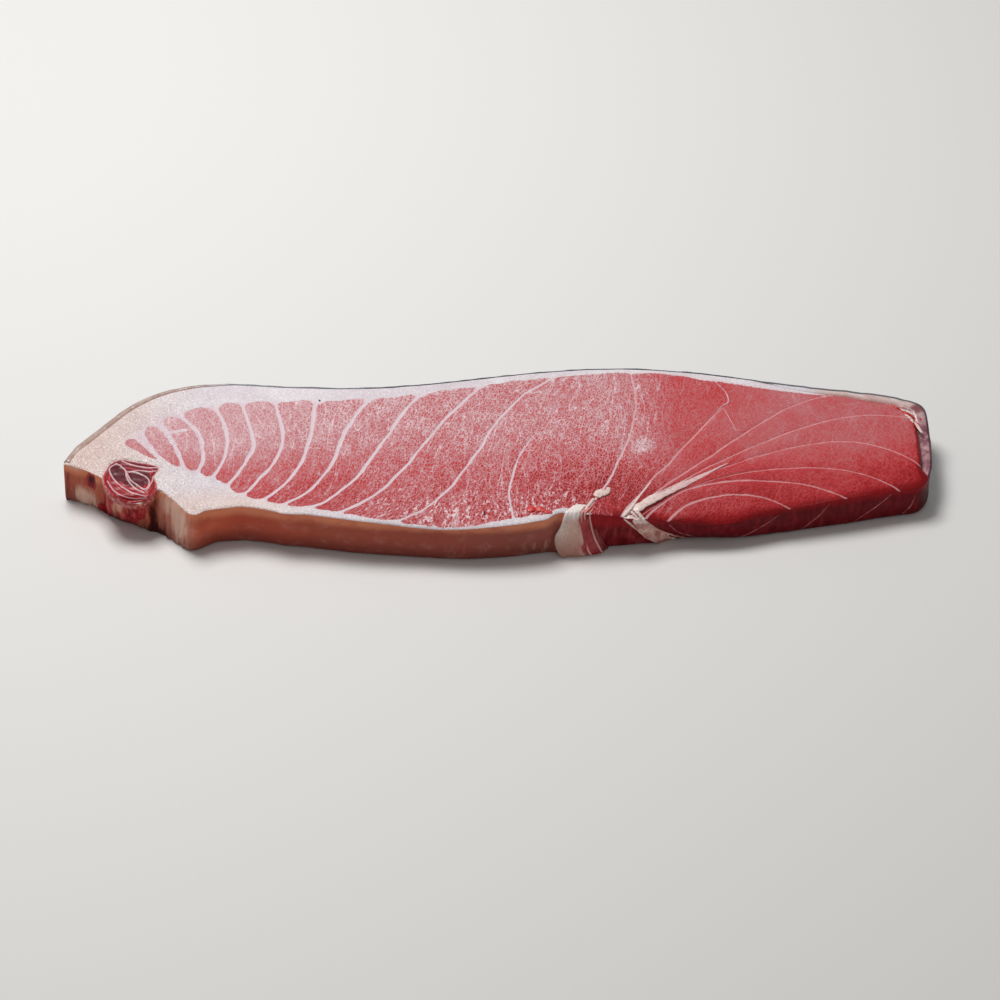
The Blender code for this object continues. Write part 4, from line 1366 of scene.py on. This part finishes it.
# Loose fat and tissue. Knobs of fat stand at the end of one sinew and at the lean end, glossy
# clots of red tissue lie on the lining's edge and at the lean end, and two dark specks are on
# the face. Each knob and clot has its places, half widths and half heights.
FAT_KNOBS = [([(51, -45), (53.5, -41.5), (56.5, -38.5)], (2.2, 3.0, 2.0), (0.6, 0.8, 0.6)),
             ([(54.5, -43.5), (57.5, -40.5), (59, -36.5)], (1.2, 2.0, 1.2), (0.5, 0.75, 0.5)),
             ([(44, -57), (46.5, -52), (50, -46.5)], (0.8, 1.0, 1.3), (0.4, 0.4, 0.6)),
             ([(236, 36.5), (238.5, 34.5), (241, 33)], (0.5, 1.0, 0.6), (0.3, 0.45, 0.3)),
             ([(240, 35.5), (242.5, 33), (246, 31.5)], (0.7, 1.2, 0.7), (0.3, 0.45, 0.3)),
             ([(238.5, 31), (241.5, 27.5), (243, 24)], (0.5, 1.0, 0.6), (0.3, 0.4, 0.3)),
             ([(243.5, 26.5), (245.5, 20), (247, 15)], (0.6, 1.2, 0.7), (0.3, 0.45, 0.3))]
RED_CLOTS = [([(11.5, -57.6), (13.5, -55.8), (16, -55.4)], (1.7, 2.7, 1.8), (0.5, 0.7, 0.5)),
             ([(16, -56.6), (18.5, -56), (21, -57.4)], (1.8, 2.4, 1.6), (0.5, 0.65, 0.45)),
             ([(20.5, -58), (23, -58.2), (25.5, -58.6)], (1.3, 1.8, 1.1), (0.4, 0.6, 0.4)),
             ([(238, 33.5), (241, 31), (244.5, 29.5)], (0.8, 1.4, 0.8), (0.3, 0.45, 0.3)),
             ([(241.5, 28.5), (244, 25), (246.5, 22.5)], (0.7, 1.2, 0.7), (0.3, 0.4, 0.3)),
             ([(243.5, 33.5), (246.5, 31), (248, 27)], (0.6, 1.0, 0.6), (0.3, 0.4, 0.3)),
             ([(228, 40.2), (233, 38), (237, 35)], (0.5, 0.9, 0.7), (0.2, 0.4, 0.3))]
# Dark specks: places along each, and its half width.
SPECKS = [([(-107.6, 43), (-106.4, 43.2)], 0.7), ([(-13.4, -60.5), (-13, -56)], 0.55)]


def clot_material(name, colours):
    """Glossy wet tissue in three tones."""
    material, n, shader = wet_material(name, 0.4, 0.15, 0.08)
    tone = n.noise(n.place(380), 3.0, 0.6)
    colour = n.ramp(tone, list(zip((0.3, 0.5, 0.72), colours)))
    finish_moist(n, shader, colour, 0.2, 0.45, 0.0006)
    return material


for name, shapes, colours, slot in (
        ("fat_knobs", [face_strand(*knob, sunk=0.2, sides=12) for knob in FAT_KNOBS],
         ((208, 166, 160), (230, 204, 196), (242, 228, 222)), "tuna_fat"),
        ("red_clots", [face_strand(*clot, sunk=0.4, sides=12) for clot in RED_CLOTS],
         ((168, 22, 28), (208, 52, 52), (230, 132, 128)), "raw_tuna"),
        ("dark_specks", [face_strand(points, (half, half), (0.25, 0.25)) for points, half in SPECKS],
         ((40, 14, 16), (58, 20, 22), (80, 34, 34)), "raw_tuna")):
    tissue = put_mesh(name, *joined(shapes))
    tissue.data.materials.append(clot_material(name, colours))
    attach(tissue, "root")

# The floor, the camera and the light. A pale floor, a large soft window behind and above, and
# weak light from everywhere else, so that the front walls stay in shadow.
FLOOR_SIZE = 6.0
floor_mesh = bpy.data.meshes.new("floor")
corners = [(x * FLOOR_SIZE / 2, y * FLOOR_SIZE / 2, 0) for x, y in ((-1, -1), (1, -1), (1, 1), (-1, 1))]
floor_mesh.from_pydata(corners, [], [(0, 1, 2, 3)])
floor = bpy.data.objects.new("floor", floor_mesh)
bpy.context.collection.objects.link(floor)
floor_material = new_material("floor", Base_Color=(0.78, 0.775, 0.765, 1), Roughness=0.6)[0]
floor.data.materials.append(floor_material)

# How far the camera looks down, turns right and rolls, in degrees.
CAMERA_PITCH, CAMERA_YAW, CAMERA_ROLL = 40.145, 3.63, 2.321
CAMERA_PLACE = Vector((-0.0967, -1.5158, 1.265))
CAMERA_LENS, SENSOR = 121.38, 36.0
pitch, yaw, roll = (math.radians(a) for a in (CAMERA_PITCH, CAMERA_YAW, CAMERA_ROLL))
forward = Vector((math.sin(yaw) * math.cos(pitch), math.cos(yaw) * math.cos(pitch), -math.sin(pitch)))
level = Vector((math.cos(yaw), -math.sin(yaw), 0))
upright = level.cross(forward)
right = math.cos(roll) * level + math.sin(roll) * upright
up = -math.sin(roll) * level + math.cos(roll) * upright
camera_data = bpy.data.cameras.new("camera")
camera_data.lens, camera_data.sensor_width = CAMERA_LENS, SENSOR
camera = bpy.data.objects.new("camera", camera_data)
bpy.context.collection.objects.link(camera)
turn = Matrix((right, up, -forward)).transposed()
camera.matrix_world = Matrix.Translation(CAMERA_PLACE) @ turn.to_4x4()
bpy.context.scene.camera = camera


def soft_light(name, place, target, size, power, colour):
    """A square area light that faces the target."""
    data = bpy.data.lights.new(name, "AREA")
    data.size, data.energy, data.color = size, power, colour
    light = bpy.data.objects.new(name, data)
    light.location = place
    light.rotation_euler = (Vector(target) - Vector(place)).to_track_quat("-Z", "Y").to_euler()
    bpy.context.collection.objects.link(light)


soft_light("back_window", (-0.45, 0.6, 1.45), (0, 0, 0), 0.7, 22, (1.0, 0.99, 0.975))
world = bpy.data.worlds.new("studio")
world.use_nodes = True
background = world.node_tree.nodes["Background"]
background.inputs["Color"].default_value = (1.0, 0.985, 0.97, 1)
background.inputs["Strength"].default_value = 0.25
bpy.context.scene.world = world
bpy.context.scene.view_settings.view_transform = "Standard"
